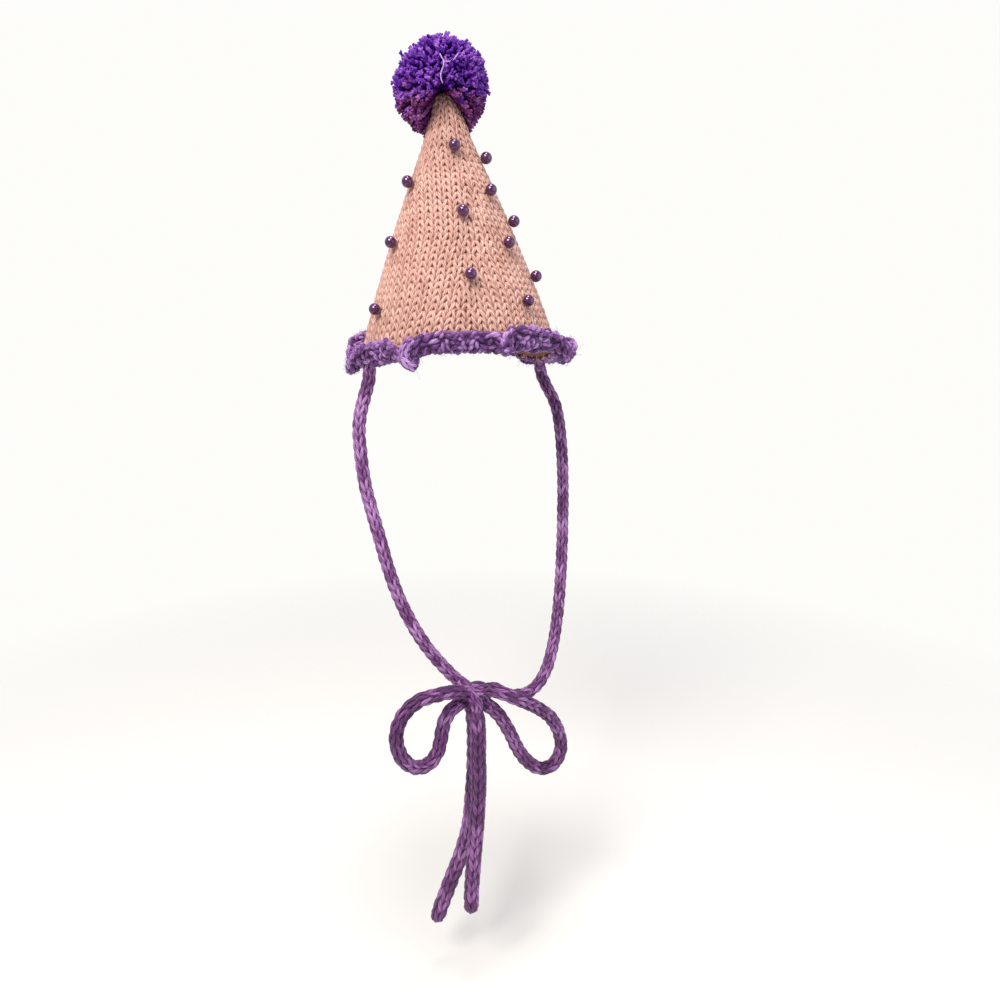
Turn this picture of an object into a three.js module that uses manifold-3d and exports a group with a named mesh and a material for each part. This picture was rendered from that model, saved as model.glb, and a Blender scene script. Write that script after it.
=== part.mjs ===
// Knit party hat: a tall knitted cone with a yarn pompom at its tip, round beads sewn on its wall,
// a gathered frill round its rim, and two knitted ties that meet in a bow under the chin.
//
// Units are millimetres. +Z is up, -Y is the wearer's front and +X the wearer's left.
// The origin is the centre of the rim, where the hat sits. Azimuths are in degrees from the
// wearer's front, growing towards the wearer's left.

import * as THREE from "three";
import { mergeVertices } from "three/addons/utils/BufferGeometryUtils.js";
import Module from "manifold-3d";

const wasm = await Module();
wasm.setup();

// Driving dimensions

const RIM_RADIUS = 52.6;
const CROWN_HEIGHT = 123.5;
const KNIT_WALL = 3;
const RIM_DROOP = 7.5;
const CROWN_LEAN = 5.9;
const LEAN_AZIMUTH = -123;

const FRILL_WIDTH = 10.4;
const FRILL_THICKNESS = 4.8;
const FRILL_RISE = 1.2;
const FRILL_BEND = 2.6;
const FRILL_LIFT = 75;
const FRILL_PINCH = 12;

const BEAD_RADIUS = 3;

const POMPOM_RADIUS = 20.4;
const POMPOM_RISE = 5.6;
const POMPOM_OFFSET = [-0.5, 4.2];
const LUMP_LENGTHS = [25.8, 23.2, 27.6];
const LOCK_LENGTH = 12;
const LOCK_RADIUS = 4;
const LOCK_PROUD = 3;
const PARTING_AZIMUTH = -33;
const PARTING_WIDTH = 18;

const STRAP_DIAMETER = 6.8;
const LOOP_DIAMETER = 7.6;
const TAIL_DIAMETER = 9;
const KNOT_RADII = [9.5, 7.5, 7.2];
const KNOT_CENTRE = [-18, -44, -179];

// Soft pieces that touch are kept apart by this much
const TOUCH_GAP = 0.3;

// Faces round and along each form

const CROWN_SIDES = 40;
const FRILL_SIDES = 104;
const CORD_SIDES = 10;
const CORD_STEP = 2.5;
const LOOP_STEP = 1.5;
const BEAD_SIDES = 10;
const BEAD_RINGS = 6;
const LOCK_COUNT = 62;
const LOCK_SIDES = 6;
const PARTING_SIDES = 12;
const KNOT_SIDES = 14;
const KNOT_RINGS = 10;

// How sharply the lean of the crown grows with height, and the droop of the rim towards its sides
const LEAN_CURVE = 1.2;
const DROOP_CURVE = 6;

// The slope of the frill's folds is read over this many degrees to each side
const FOLD_REACH = 2;

// Shape of the pompom: how deep its lumps are as a share of its radius, how steeply its parting
// looks down, the half angles left free of locks, and how the locks differ in turn
const LUMP_SHARE = 0.05;
const PARTING_DROP = 0.55;
const PARTING_ANGLE = 40;
const SEAT_ANGLE = 42;
const LOCK_THICKNESS_WAVE = { share: 0.18, step: 2.4 };
const LOCK_REACH_WAVE = { share: 0.2, step: 1.7 };

// Grooves between the turns of cord in the knot: how many, and their depth as a share
const KNOT_TURNS = 3;
const KNOT_GROOVE = 0.07;

// Outline of the crown: height as a share of CROWN_HEIGHT, radius as a share of RIM_RADIUS
const CROWN_SECTIONS = [
  { height: 0, radius: 1 },
  { height: 0.05, radius: 0.962 },
  { height: 0.12, radius: 0.911 },
  { height: 0.24, radius: 0.808 },
  { height: 0.368, radius: 0.69 },
  { height: 0.485, radius: 0.582 },
  { height: 0.593, radius: 0.479 },
  { height: 0.7, radius: 0.37 },
  { height: 0.79, radius: 0.278 },
  { height: 0.86, radius: 0.216 },
  { height: 0.93, radius: 0.158 },
  { height: 0.975, radius: 0.11 },
  { height: 0.995, radius: 0.052 },
];

// Folds of the frill: where each lies, how far it lifts (share of FRILL_LIFT, hanging if negative)
// and how far it reaches out (share of FRILL_WIDTH)
const FRILL_FOLDS = [
  { azimuth: -146, lift: 0.85, reach: 0.98 },
  { azimuth: -121, lift: -0.85, reach: 1.05 },
  { azimuth: -101, lift: -0.6, reach: 1.02 },
  { azimuth: -74, lift: 1, reach: 1.1 },
  { azimuth: -51, lift: -0.75, reach: 1 },
  { azimuth: -39, lift: 0.98, reach: 1 },
  { azimuth: -31, lift: 0.84, reach: 0.92 },
  { azimuth: -20, lift: 0.95, reach: 0.96 },
  { azimuth: -9, lift: -0.2, reach: 1 },
  { azimuth: 2, lift: 1.05, reach: 1.18 },
  { azimuth: 14, lift: 0.85, reach: 1.12 },
  { azimuth: 35, lift: -0.85, reach: 1.05 },
  { azimuth: 62, lift: 0.75, reach: 1 },
  { azimuth: 90, lift: -0.15, reach: 1.02 },
  { azimuth: 110, lift: -0.5, reach: 1 },
  { azimuth: 130, lift: 0.85, reach: 0.98 },
  { azimuth: 153, lift: -0.5, reach: 1 },
  { azimuth: 176, lift: 0.85, reach: 0.96 },
  { azimuth: 199, lift: -0.45, reach: 1 },
];

// Where the section of the frill has points, as shares of FRILL_WIDTH, and how blunt its edge is
const FRILL_STATIONS = [0.2, 0.5, 0.86];
const FRILL_EDGE = 0.45;

// Rows of beads: azimuth, and the heights of its beads as shares of CROWN_HEIGHT
const BEAD_ROWS = [
  { azimuth: -172, heights: [0.77, 0.52, 0.28] },
  { azimuth: -89, heights: [0.65, 0.415, 0.176] },
  { azimuth: -21, heights: [0.78, 0.522, 0.28] },
  { azimuth: 16, heights: [0.614, 0.41, 0.183] },
  { azimuth: 40, heights: [0.752, 0.504, 0.286] },
  { azimuth: 98, heights: [0.63, 0.41, 0.18] },
  { azimuth: 128, heights: [0.78, 0.52, 0.28] },
  { azimuth: 157, heights: [0.63, 0.41, 0.18] },
];

// Routes of the ties, each from the piece that it leaves
const CORD_ROUTES = {
  tie_strap_right: [
    [-53.2, -0.4, -10.3], [-54, -0.8, -15.5], [-57.4, -2.4, -23.6], [-60.7, -4.6, -31],
    [-62.6, -6.4, -39.3], [-63.2, -8.4, -48.6], [-63.2, -10.2, -57.9], [-62.6, -12, -68],
    [-61.2, -14, -77.6], [-59.6, -16.2, -87.3], [-57.9, -18.3, -97], [-56.2, -19.6, -106.1],
    [-53.4, -21.4, -117.9], [-49.8, -23.7, -129.9], [-45.2, -26.4, -141.5], [-39.6, -29.3, -152.6],
    [-33, -32.4, -162.8], [-27, -37.3, -170.8], [-23.8, -40.3, -174.3],
  ],
  tie_strap_left: [
    [-8.1, -44.4, -180.3], [-2, -46.4, -183.4], [7, -48.6, -185.4], [17, -48, -184.6],
    [28, -44, -178.6], [38, -37.4, -167], [46.4, -30.4, -152], [52.6, -24.4, -134],
    [57, -19.6, -115], [60.2, -15.6, -95], [62.4, -12, -74], [63.2, -8.8, -55],
    [62.6, -6.2, -40], [60.4, -4, -30], [57, -2.2, -23], [54, -0.8, -15.8], [53.2, -0.4, -10.5],
  ],
  bow_loop_right: [
    [-27.2, -46.6, -175.2], [-35, -48.6, -172], [-44.4, -48.9, -171], [-54.4, -48.1, -171.8],
    [-62.4, -47.6, -177.1], [-66.2, -47.2, -185.4], [-65.6, -46.7, -195.4], [-61.5, -46.2, -204.3],
    [-55.4, -45.8, -209.8], [-48, -45.3, -210.6], [-42.4, -44.8, -206], [-39.6, -44.3, -197.8],
    [-37.2, -43.6, -190.2], [-32.8, -43.1, -185.2], [-26.6, -42.6, -182.8],
  ],
  bow_loop_left: [
    [-13.4, -47.2, -185.7], [-7.6, -48.8, -192], [-0.4, -49.3, -204.6], [5.2, -50, -217.1],
    [12.4, -50.7, -227.6], [20.6, -51.3, -233.8], [28.9, -52, -233], [33.1, -52.7, -225],
    [31.4, -53.4, -214.7], [24.7, -54.4, -202.4], [15, -56.2, -192.8], [5.4, -57.2, -185.6],
    [-4.4, -57, -179.4], [-9.8, -54.6, -176.2], [-12.6, -52.2, -174.9],
  ],
  tie_tail_right: [
    [-21.2, -48.6, -186], [-20.7, -49.2, -191], [-20, -49.2, -199], [-20, -49, -213.4],
    [-19.8, -49.2, -224], [-20, -49, -236], [-20.6, -48.6, -249], [-21.4, -48.1, -263],
    [-22.4, -47.5, -277], [-23.2, -47, -290], [-23.7, -46.7, -302], [-23.8, -46.6, -311.5],
  ],
  tie_tail_left: [
    [-18.2, -39.4, -186.2], [-17, -38.7, -192], [-16.2, -38.8, -203.8], [-16.3, -38.6, -222.1],
    [-17.4, -38, -243.9], [-19, -37.2, -262], [-21.2, -36, -273.6], [-23.9, -34.4, -284.5],
    [-27.1, -32.3, -295], [-30.2, -30.3, -305.8], [-33.3, -28.3, -316.6], [-36, -26.6, -326.5],
  ],
};

// Colours and finishes

const YARN_ROUGHNESS = 0.85;
const pinkYarn = new THREE.MeshStandardMaterial({ color: 0xe0aa98, roughness: YARN_ROUGHNESS });
const purpleYarn = new THREE.MeshStandardMaterial({ color: 0x7b51a6, roughness: YARN_ROUGHNESS });
const violetYarn = new THREE.MeshStandardMaterial({ color: 0x5b2a9c, roughness: YARN_ROUGHNESS });
const pearl = new THREE.MeshStandardMaterial({ color: 0x5a2752, roughness: 0.2, metalness: 0.5 });

// Helpers

const radians = THREE.MathUtils.degToRad;

// Unit vector in the plane of the rim at an azimuth
function outward(azimuth) {
  return new THREE.Vector3(Math.sin(radians(azimuth)), -Math.cos(radians(azimuth)), 0);
}

function azimuthOf(x, y) {
  return THREE.MathUtils.radToDeg(Math.atan2(x, -y));
}

// Straight-line reading of a table: the value of one column where another has a given value
function readTable(rows, column, at, value) {
  for (let i = 1; i < rows.length; i++) {
    if (at <= rows[i][column]) {
      const span = rows[i][column] - rows[i - 1][column];
      const share = (at - rows[i - 1][column]) / span;
      return THREE.MathUtils.lerp(rows[i - 1][value], rows[i][value], share);
    }
  }
  return rows[rows.length - 1][value];
}

// Smooth reading of the table of folds, which closes on itself after a full turn
function readFolds(azimuth, value) {
  const count = FRILL_FOLDS.length;
  const first = FRILL_FOLDS[0].azimuth;
  const at = first + THREE.MathUtils.euclideanModulo(azimuth - first, 360);
  for (let i = 0; i < count; i++) {
    const here = FRILL_FOLDS[i];
    const next = FRILL_FOLDS[(i + 1) % count];
    const end = i + 1 < count ? next.azimuth : next.azimuth + 360;
    if (at <= end) {
      const share = (at - here.azimuth) / (end - here.azimuth);
      const eased = (1 - Math.cos(Math.PI * share)) / 2;
      return THREE.MathUtils.lerp(here[value], next[value], eased);
    }
  }
  return FRILL_FOLDS[0][value];
}

// The rim hangs lower at the two sides, where the ties pull on it and the head falls away
function rimHeight(azimuth) {
  return -RIM_DROOP * Math.abs(Math.sin(radians(azimuth))) ** DROOP_CURVE;
}

// The axis of the crown leans a little more towards the tip
function crownAxis(height) {
  const share = Math.max(height, 0) / CROWN_HEIGHT;
  return outward(LEAN_AZIMUTH).multiplyScalar(CROWN_LEAN * share ** LEAN_CURVE);
}

function crownRadius(height) {
  return RIM_RADIUS * readTable(CROWN_SECTIONS, "height", height / CROWN_HEIGHT, "radius");
}

// Moves every vertex of a geometry by a function of its place
function reshape(geometry, place) {
  const positions = geometry.getAttribute("position");
  const point = new THREE.Vector3();
  for (let i = 0; i < positions.count; i++) {
    point.fromBufferAttribute(positions, i);
    place(point);
    positions.setXYZ(i, point.x, point.y, point.z);
  }
  positions.needsUpdate = true;
  return geometry;
}

// A profile of [radius, height] points turned round +Z, with its seam merged. The points go up
// the outside of the form and down its inside.
function turned(profile, sides) {
  const points = profile.map(([radius, height]) => new THREE.Vector2(radius, height));
  const geometry = new THREE.LatheGeometry(points, sides);
  geometry.rotateX(Math.PI / 2);
  return weld(geometry);
}

function weld(geometry) {
  const bare = geometry.clone();
  bare.deleteAttribute("normal");
  bare.deleteAttribute("uv");
  return mergeVertices(bare, 1e-4);
}

function toSolid(geometry) {
  const merged = weld(geometry);
  const mesh = new wasm.Mesh({
    numProp: 3,
    vertProperties: new Float32Array(merged.getAttribute("position").array),
    triVerts: new Uint32Array(merged.index.array),
  });
  return new wasm.Manifold(mesh);
}

function fromSolid(solid) {
  const mesh = solid.getMesh();
  const geometry = new THREE.BufferGeometry();
  geometry.setAttribute("position", new THREE.BufferAttribute(mesh.vertProperties, 3));
  geometry.setIndex(new THREE.BufferAttribute(mesh.triVerts, 1));
  return geometry;
}

function named(name, geometry, material) {
  geometry.computeVertexNormals();
  const mesh = new THREE.Mesh(geometry, material);
  mesh.name = name;
  return mesh;
}

// Bends a turned crown form: it leans with height, and its foot follows the drooping rim
function leanAndDroop(point) {
  const azimuth = azimuthOf(point.x, point.y);
  const share = THREE.MathUtils.clamp(1 - point.z / (CROWN_HEIGHT / 2), 0, 1);
  const shift = crownAxis(point.z);
  point.z += rimHeight(azimuth) * share ** 2;
  point.x += shift.x;
  point.y += shift.y;
}

// Crown

// Outside of the crown from the rim up to the tip, grown by an allowance all over
function crownOutside(allowance) {
  const rings = CROWN_SECTIONS.map((row) => [
    RIM_RADIUS * row.radius + allowance,
    (CROWN_HEIGHT + allowance) * row.height,
  ]);
  return [...rings, [0, CROWN_HEIGHT + allowance]];
}

function makeCrown() {
  const inside = CROWN_SECTIONS.filter((row) => RIM_RADIUS * row.radius > 2 * KNIT_WALL).map(
    (row) => [RIM_RADIUS * row.radius - KNIT_WALL, CROWN_HEIGHT * row.height],
  );
  const innerTip = [0, CROWN_HEIGHT - KNIT_WALL];
  const profile = [innerTip, ...inside.reverse(), ...crownOutside(0)];
  return named("crown", reshape(turned(profile, CROWN_SIDES), leanAndDroop), pinkYarn);
}

// Frill

// Place of a point of the frill's section: along runs from the root outwards, through is the
// height in its thickness, and the flap turns up or down by the lift angle over its bend
function frillPlace(along, through, lift) {
  const turn = lift * Math.min(1, along / FRILL_BEND);
  const radius = FRILL_BEND / (Math.abs(lift) < 1e-4 ? 1e-4 : lift);
  const rest = Math.max(0, along - FRILL_BEND);
  const out = radius * Math.sin(turn) + rest * Math.cos(turn) - through * Math.sin(turn);
  const up = radius * (1 - Math.cos(turn)) + rest * Math.sin(turn) + through * Math.cos(turn);
  return [out, up];
}

// The band stands round the outside of the rim, its root a little above the crown's lower edge
function makeFrill() {
  const half = FRILL_THICKNESS / 2;
  const root = RIM_RADIUS + TOUCH_GAP;
  const stations = [0, ...FRILL_STATIONS.map((share) => share * FRILL_WIDTH)];
  const under = stations.map((along) => [along, -half]);
  const edge = [
    [FRILL_WIDTH, -half * FRILL_EDGE],
    [FRILL_WIDTH, half * FRILL_EDGE],
  ];
  const top = stations.map((along) => [along, half]).reverse();
  const loop = [...under, ...edge, ...top];
  const section = [...loop, loop[0]].map(([along, through]) => [root + along, through]);
  const geometry = turned(section, FRILL_SIDES);
  return reshape(geometry, (point) => {
    const azimuth = azimuthOf(point.x, point.y);
    const along = Math.max(0, Math.hypot(point.x, point.y) - root);
    const lift = radians(FRILL_LIFT) * readFolds(azimuth, "lift");
    const ahead = readFolds(azimuth + FOLD_REACH, "lift");
    const behind = readFolds(azimuth - FOLD_REACH, "lift");
    const [out, up] = frillPlace(along * readFolds(azimuth, "reach"), point.z, lift);
    const swing = (FRILL_PINCH * (ahead - behind) * along) / FRILL_WIDTH;
    const swung = outward(azimuth - swing);
    point.x = swung.x * (root + out);
    point.y = swung.y * (root + out);
    point.z = rimHeight(azimuth) + FRILL_RISE + up;
  });
}

// Pompom

function pompomCentre() {
  const tip = crownAxis(CROWN_HEIGHT);
  const [right, back] = POMPOM_OFFSET;
  return tip.add(new THREE.Vector3(right, back, CROWN_HEIGHT + POMPOM_RISE));
}

// Directions spread evenly over a ball, from the top down
function spread(count) {
  const golden = Math.PI * (3 - Math.sqrt(5));
  return Array.from({ length: count }, (_, i) => {
    const up = 1 - (2 * (i + 0.5)) / count;
    const level = Math.sqrt(1 - up * up);
    return new THREE.Vector3(level * Math.cos(golden * i), level * Math.sin(golden * i), up);
  });
}

// Places a geometry that was made along +Y so that it points another way
function aim(geometry, way, place) {
  const along = new THREE.Vector3(0, 1, 0);
  geometry.applyQuaternion(new THREE.Quaternion().setFromUnitVectors(along, way));
  return geometry.translate(place.x, place.y, place.z);
}

function makeHead(centre) {
  const ball = new THREE.IcosahedronGeometry(POMPOM_RADIUS, 4);
  const waves = LUMP_LENGTHS.map((length) => (2 * Math.PI) / length);
  return reshape(weld(ball), (point) => {
    const lumps =
      Math.sin(point.x * waves[0]) * Math.sin(point.y * waves[1]) * Math.cos(point.z * waves[2]);
    point.multiplyScalar(1 + LUMP_SHARE * lumps).add(centre);
  });
}

function makeLock(centre, way, turn) {
  const wave = LOCK_THICKNESS_WAVE;
  const thick = LOCK_RADIUS * (1 + wave.share * Math.sin(wave.step * turn));
  const lock = new THREE.CapsuleGeometry(thick, LOCK_LENGTH - 2 * thick, 2, LOCK_SIDES);
  const proud = LOCK_PROUD * (1 + LOCK_REACH_WAVE.share * Math.cos(LOCK_REACH_WAVE.step * turn));
  const reach = POMPOM_RADIUS + proud - LOCK_LENGTH / 2;
  return aim(lock, way, centre.clone().addScaledVector(way, reach));
}

// A head of yarn with locks fused to it, opened towards the parting and cleared round the crown
function makePompom() {
  const centre = pompomCentre();
  const seat = new THREE.Vector3(0, 0, -1);
  const parting = outward(PARTING_AZIMUTH).setZ(-PARTING_DROP).normalize();
  const locks = spread(LOCK_COUNT)
    .filter((way) => way.angleTo(seat) > radians(SEAT_ANGLE))
    .filter((way) => way.angleTo(parting) > radians(PARTING_ANGLE))
    .map((way, i) => toSolid(makeLock(centre, way, i)));
  const cutLength = 2 * POMPOM_RADIUS;
  const apex = crownAxis(CROWN_HEIGHT).setZ(CROWN_HEIGHT + LOCK_PROUD);
  const cutter = new THREE.ConeGeometry(PARTING_WIDTH, cutLength, PARTING_SIDES);
  aim(cutter, parting.clone().negate(), apex.addScaledVector(parting, cutLength / 2));
  const crownForm = turned([[0, 0], ...crownOutside(TOUCH_GAP)], CROWN_SIDES);
  const crownSolid = toSolid(reshape(crownForm, leanAndDroop));
  const fused = locks.reduce((whole, lock) => whole.add(lock), toSolid(makeHead(centre)));
  const shaped = fused.subtract(toSolid(cutter)).subtract(crownSolid);
  return named("pompom", fromSolid(shaped), violetYarn);
}

// Beads

function makeBead(name, azimuth, heightShare) {
  const height = CROWN_HEIGHT * heightShare;
  const step = CROWN_HEIGHT / 100;
  const slope = (crownRadius(height - step) - crownRadius(height + step)) / (2 * step);
  const out = outward(azimuth).setZ(slope).normalize();
  const seat = outward(azimuth).multiplyScalar(crownRadius(height)).setZ(height);
  leanAndDroop(seat);
  const bead = new THREE.SphereGeometry(BEAD_RADIUS, BEAD_SIDES, BEAD_RINGS);
  const mesh = named(name, weld(bead), pearl);
  mesh.position.copy(seat.addScaledVector(out, BEAD_RADIUS + TOUCH_GAP));
  return mesh;
}

function makeBeads() {
  const places = BEAD_ROWS.flatMap((row) => row.heights.map((height) => [row.azimuth, height]));
  return places.map(([azimuth, height], i) =>
    makeBead("bead_" + String(i + 1).padStart(2, "0"), azimuth, height),
  );
}

// Ties and bow

function makeCord(name, diameter, step) {
  const points = CORD_ROUTES[name].map((point) => new THREE.Vector3(...point));
  const route = new THREE.CatmullRomCurve3(points, false, "centripetal");
  const section = new THREE.Shape();
  section.absarc(0, 0, diameter / 2, 0, 2 * Math.PI, false);
  const cord = new THREE.ExtrudeGeometry(section, {
    steps: Math.round(route.getLength() / (step * diameter)),
    curveSegments: CORD_SIDES,
    extrudePath: route,
  });
  return named(name, weld(cord), purpleYarn);
}

function makeKnot() {
  const knot = new THREE.SphereGeometry(1, KNOT_SIDES, KNOT_RINGS);
  reshape(knot, (point) => {
    const wave = (1 - Math.cos(KNOT_TURNS * Math.PI * (point.x + 1))) / 2;
    point.multiply(new THREE.Vector3(...KNOT_RADII)).multiplyScalar(1 - KNOT_GROOVE * wave);
  });
  const mesh = named("bow_knot", weld(knot), purpleYarn);
  mesh.position.set(...KNOT_CENTRE);
  return mesh;
}

function makeTies() {
  const ties = new THREE.Group();
  ties.add(makeCord("tie_strap_right", STRAP_DIAMETER, CORD_STEP));
  ties.add(makeCord("tie_strap_left", STRAP_DIAMETER, CORD_STEP));
  ties.add(makeKnot());
  ties.add(makeCord("bow_loop_right", LOOP_DIAMETER, LOOP_STEP));
  ties.add(makeCord("bow_loop_left", LOOP_DIAMETER, LOOP_STEP));
  ties.add(makeCord("tie_tail_right", TAIL_DIAMETER, CORD_STEP));
  ties.add(makeCord("tie_tail_left", TAIL_DIAMETER, CORD_STEP));
  return ties;
}

// Assembly

const hat = new THREE.Group();
hat.add(makeCrown());
hat.add(named("frill", makeFrill(), purpleYarn));
hat.add(makePompom());
hat.add(...makeBeads());
hat.add(makeTies());

export default hat;
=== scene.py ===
"""Looks of a knit party hat: a stockinette cone with a yarn pompom, sewn beads, a gathered frill
and two knitted cords tied in a bow. Every length is in metres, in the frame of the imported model.

Azimuths run from the wearer's front (-Y) towards the wearer's left (+X), in radians inside the
functions and in degrees in the tables.
"""

import logging
import math
from dataclasses import dataclass, field, replace
from enum import Enum

import bpy
import numpy as np
from mathutils import Matrix, Vector


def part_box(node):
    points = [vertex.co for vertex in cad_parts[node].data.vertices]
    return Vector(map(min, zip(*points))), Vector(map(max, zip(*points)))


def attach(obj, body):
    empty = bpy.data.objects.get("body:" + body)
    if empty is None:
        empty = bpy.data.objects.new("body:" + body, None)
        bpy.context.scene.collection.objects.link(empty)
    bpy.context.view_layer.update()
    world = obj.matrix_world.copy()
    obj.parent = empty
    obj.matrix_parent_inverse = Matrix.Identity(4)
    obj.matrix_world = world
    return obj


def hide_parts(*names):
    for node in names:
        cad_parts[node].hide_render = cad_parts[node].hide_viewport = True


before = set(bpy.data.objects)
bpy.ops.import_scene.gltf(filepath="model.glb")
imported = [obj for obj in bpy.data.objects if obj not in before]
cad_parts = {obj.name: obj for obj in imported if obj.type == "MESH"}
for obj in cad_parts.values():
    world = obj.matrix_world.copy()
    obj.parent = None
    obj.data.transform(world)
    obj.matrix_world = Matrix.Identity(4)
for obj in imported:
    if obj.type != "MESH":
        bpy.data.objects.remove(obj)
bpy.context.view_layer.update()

LOG = logging.getLogger("knit_party_hat")
MM = 0.001
UP = np.array([0.0, 0.0, 1.0])
TURN = 2 * math.pi
FIBRE_RADIUS = 0.07 * MM
# Side that the photograph was taken from, in degrees
VIEW_AZIMUTH = -33.0


# Small helpers


def outward(azimuth: np.ndarray) -> np.ndarray:
    """Unit vectors in the plane of the rim at the given azimuths."""
    azimuth = np.asarray(azimuth, float)
    return np.stack([np.sin(azimuth), -np.cos(azimuth), np.zeros_like(azimuth)], axis=-1)


def unit(vectors: np.ndarray) -> np.ndarray:
    """The vectors made one long."""
    return vectors / np.maximum(np.linalg.norm(vectors, axis=-1, keepdims=True), 1e-12)


def running_length(points: np.ndarray) -> np.ndarray:
    """Distance walked from the first point to each point, along the last axis but one."""
    steps = np.linalg.norm(np.diff(points, axis=-2), axis=-1)
    start = np.zeros(steps.shape[:-1] + (1,))
    return np.concatenate([start, np.cumsum(steps, axis=-1)], axis=-1)


def spread_directions(count: int) -> np.ndarray:
    """Directions spread evenly over a ball, from the top down."""
    index = np.arange(count)
    height = 1 - 2 * (index + 0.5) / count
    level = np.sqrt(1 - height**2)
    turn = index * math.pi * (3 - math.sqrt(5))
    return np.stack([level * np.cos(turn), level * np.sin(turn), height], axis=-1)


def read_along(stations: np.ndarray, walked: np.ndarray, points: np.ndarray) -> np.ndarray:
    """Points or directions of a line, read at distances walked along it."""
    return np.stack([np.interp(stations, walked, points[:, k]) for k in range(3)], axis=-1)


def smooth_route(points: list[tuple[float, float, float]], spacing: float) -> np.ndarray:
    """A centripetal Catmull-Rom curve through the points, sampled at an even spacing.

    Args:
        points: the chosen points of the route.
        spacing: the distance between samples, in metres.

    Returns:
        The samples, from the first point to the last.
    """
    given = np.array(points, float)
    ends = [2 * given[:1] - given[1:2], given, 2 * given[-1:] - given[-2:-1]]
    knots = np.concatenate(ends)
    fine = []
    for i in range(1, len(knots) - 2):
        p0, p1, p2, p3 = knots[i - 1 : i + 3]
        t1 = np.linalg.norm(p1 - p0) ** 0.5
        t2 = t1 + np.linalg.norm(p2 - p1) ** 0.5
        t3 = t2 + np.linalg.norm(p3 - p2) ** 0.5
        t = np.linspace(t1, t2, 25)[:-1, None]
        a1 = (t1 - t) / t1 * p0 + t / t1 * p1
        a2 = (t2 - t) / (t2 - t1) * p1 + (t - t1) / (t2 - t1) * p2
        a3 = (t3 - t) / (t3 - t2) * p2 + (t - t2) / (t3 - t2) * p3
        b1 = (t2 - t) / t2 * a1 + t / t2 * a2
        b2 = (t3 - t) / (t3 - t1) * a2 + (t - t1) / (t3 - t1) * a3
        fine.append((t2 - t) / (t2 - t1) * b1 + (t - t1) / (t2 - t1) * b2)
    curve = np.concatenate([*fine, knots[-2:-1]])
    walked = running_length(curve)
    stations = np.linspace(0, walked[-1], max(2, round(walked[-1] / spacing)) + 1)
    return read_along(stations, walked, curve)


def carried_normals(route: np.ndarray, start: np.ndarray) -> np.ndarray:
    """Normals along a route that never twist about it more than they must.

    Args:
        route: samples of the route.
        start: the direction that the first normal points to, as near as it can.

    Returns:
        One unit normal for each sample.
    """
    along = unit(np.gradient(route, axis=0))
    normals = np.zeros_like(route)
    normals[0] = unit(start - along[0] * (start @ along[0]))
    for i in range(1, len(route)):
        last = normals[i - 1]
        normals[i] = unit(last - along[i] * (last @ along[i]))
    return normals


def turned(first: np.ndarray, second: np.ndarray, turn: np.ndarray) -> np.ndarray:
    """Directions turned from a first one towards a second."""
    return first * np.cos(turn)[..., None] + second * np.sin(turn)[..., None]


def ball_rings(rows: int, sides: int) -> np.ndarray:
    """Rings of a ball one in radius, from its bottom to its top."""
    turn = np.linspace(0.02, math.pi - 0.02, rows)[::-1, None]
    around = np.linspace(0, TURN, sides, endpoint=False)[None, :]
    level = np.sin(turn)
    return np.stack([level * np.cos(around), level * np.sin(around), np.cos(turn) + 0 * around], -1)


TOWARD_VIEWER = outward(np.radians(VIEW_AZIMUTH))


# Meshes from arrays


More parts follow.
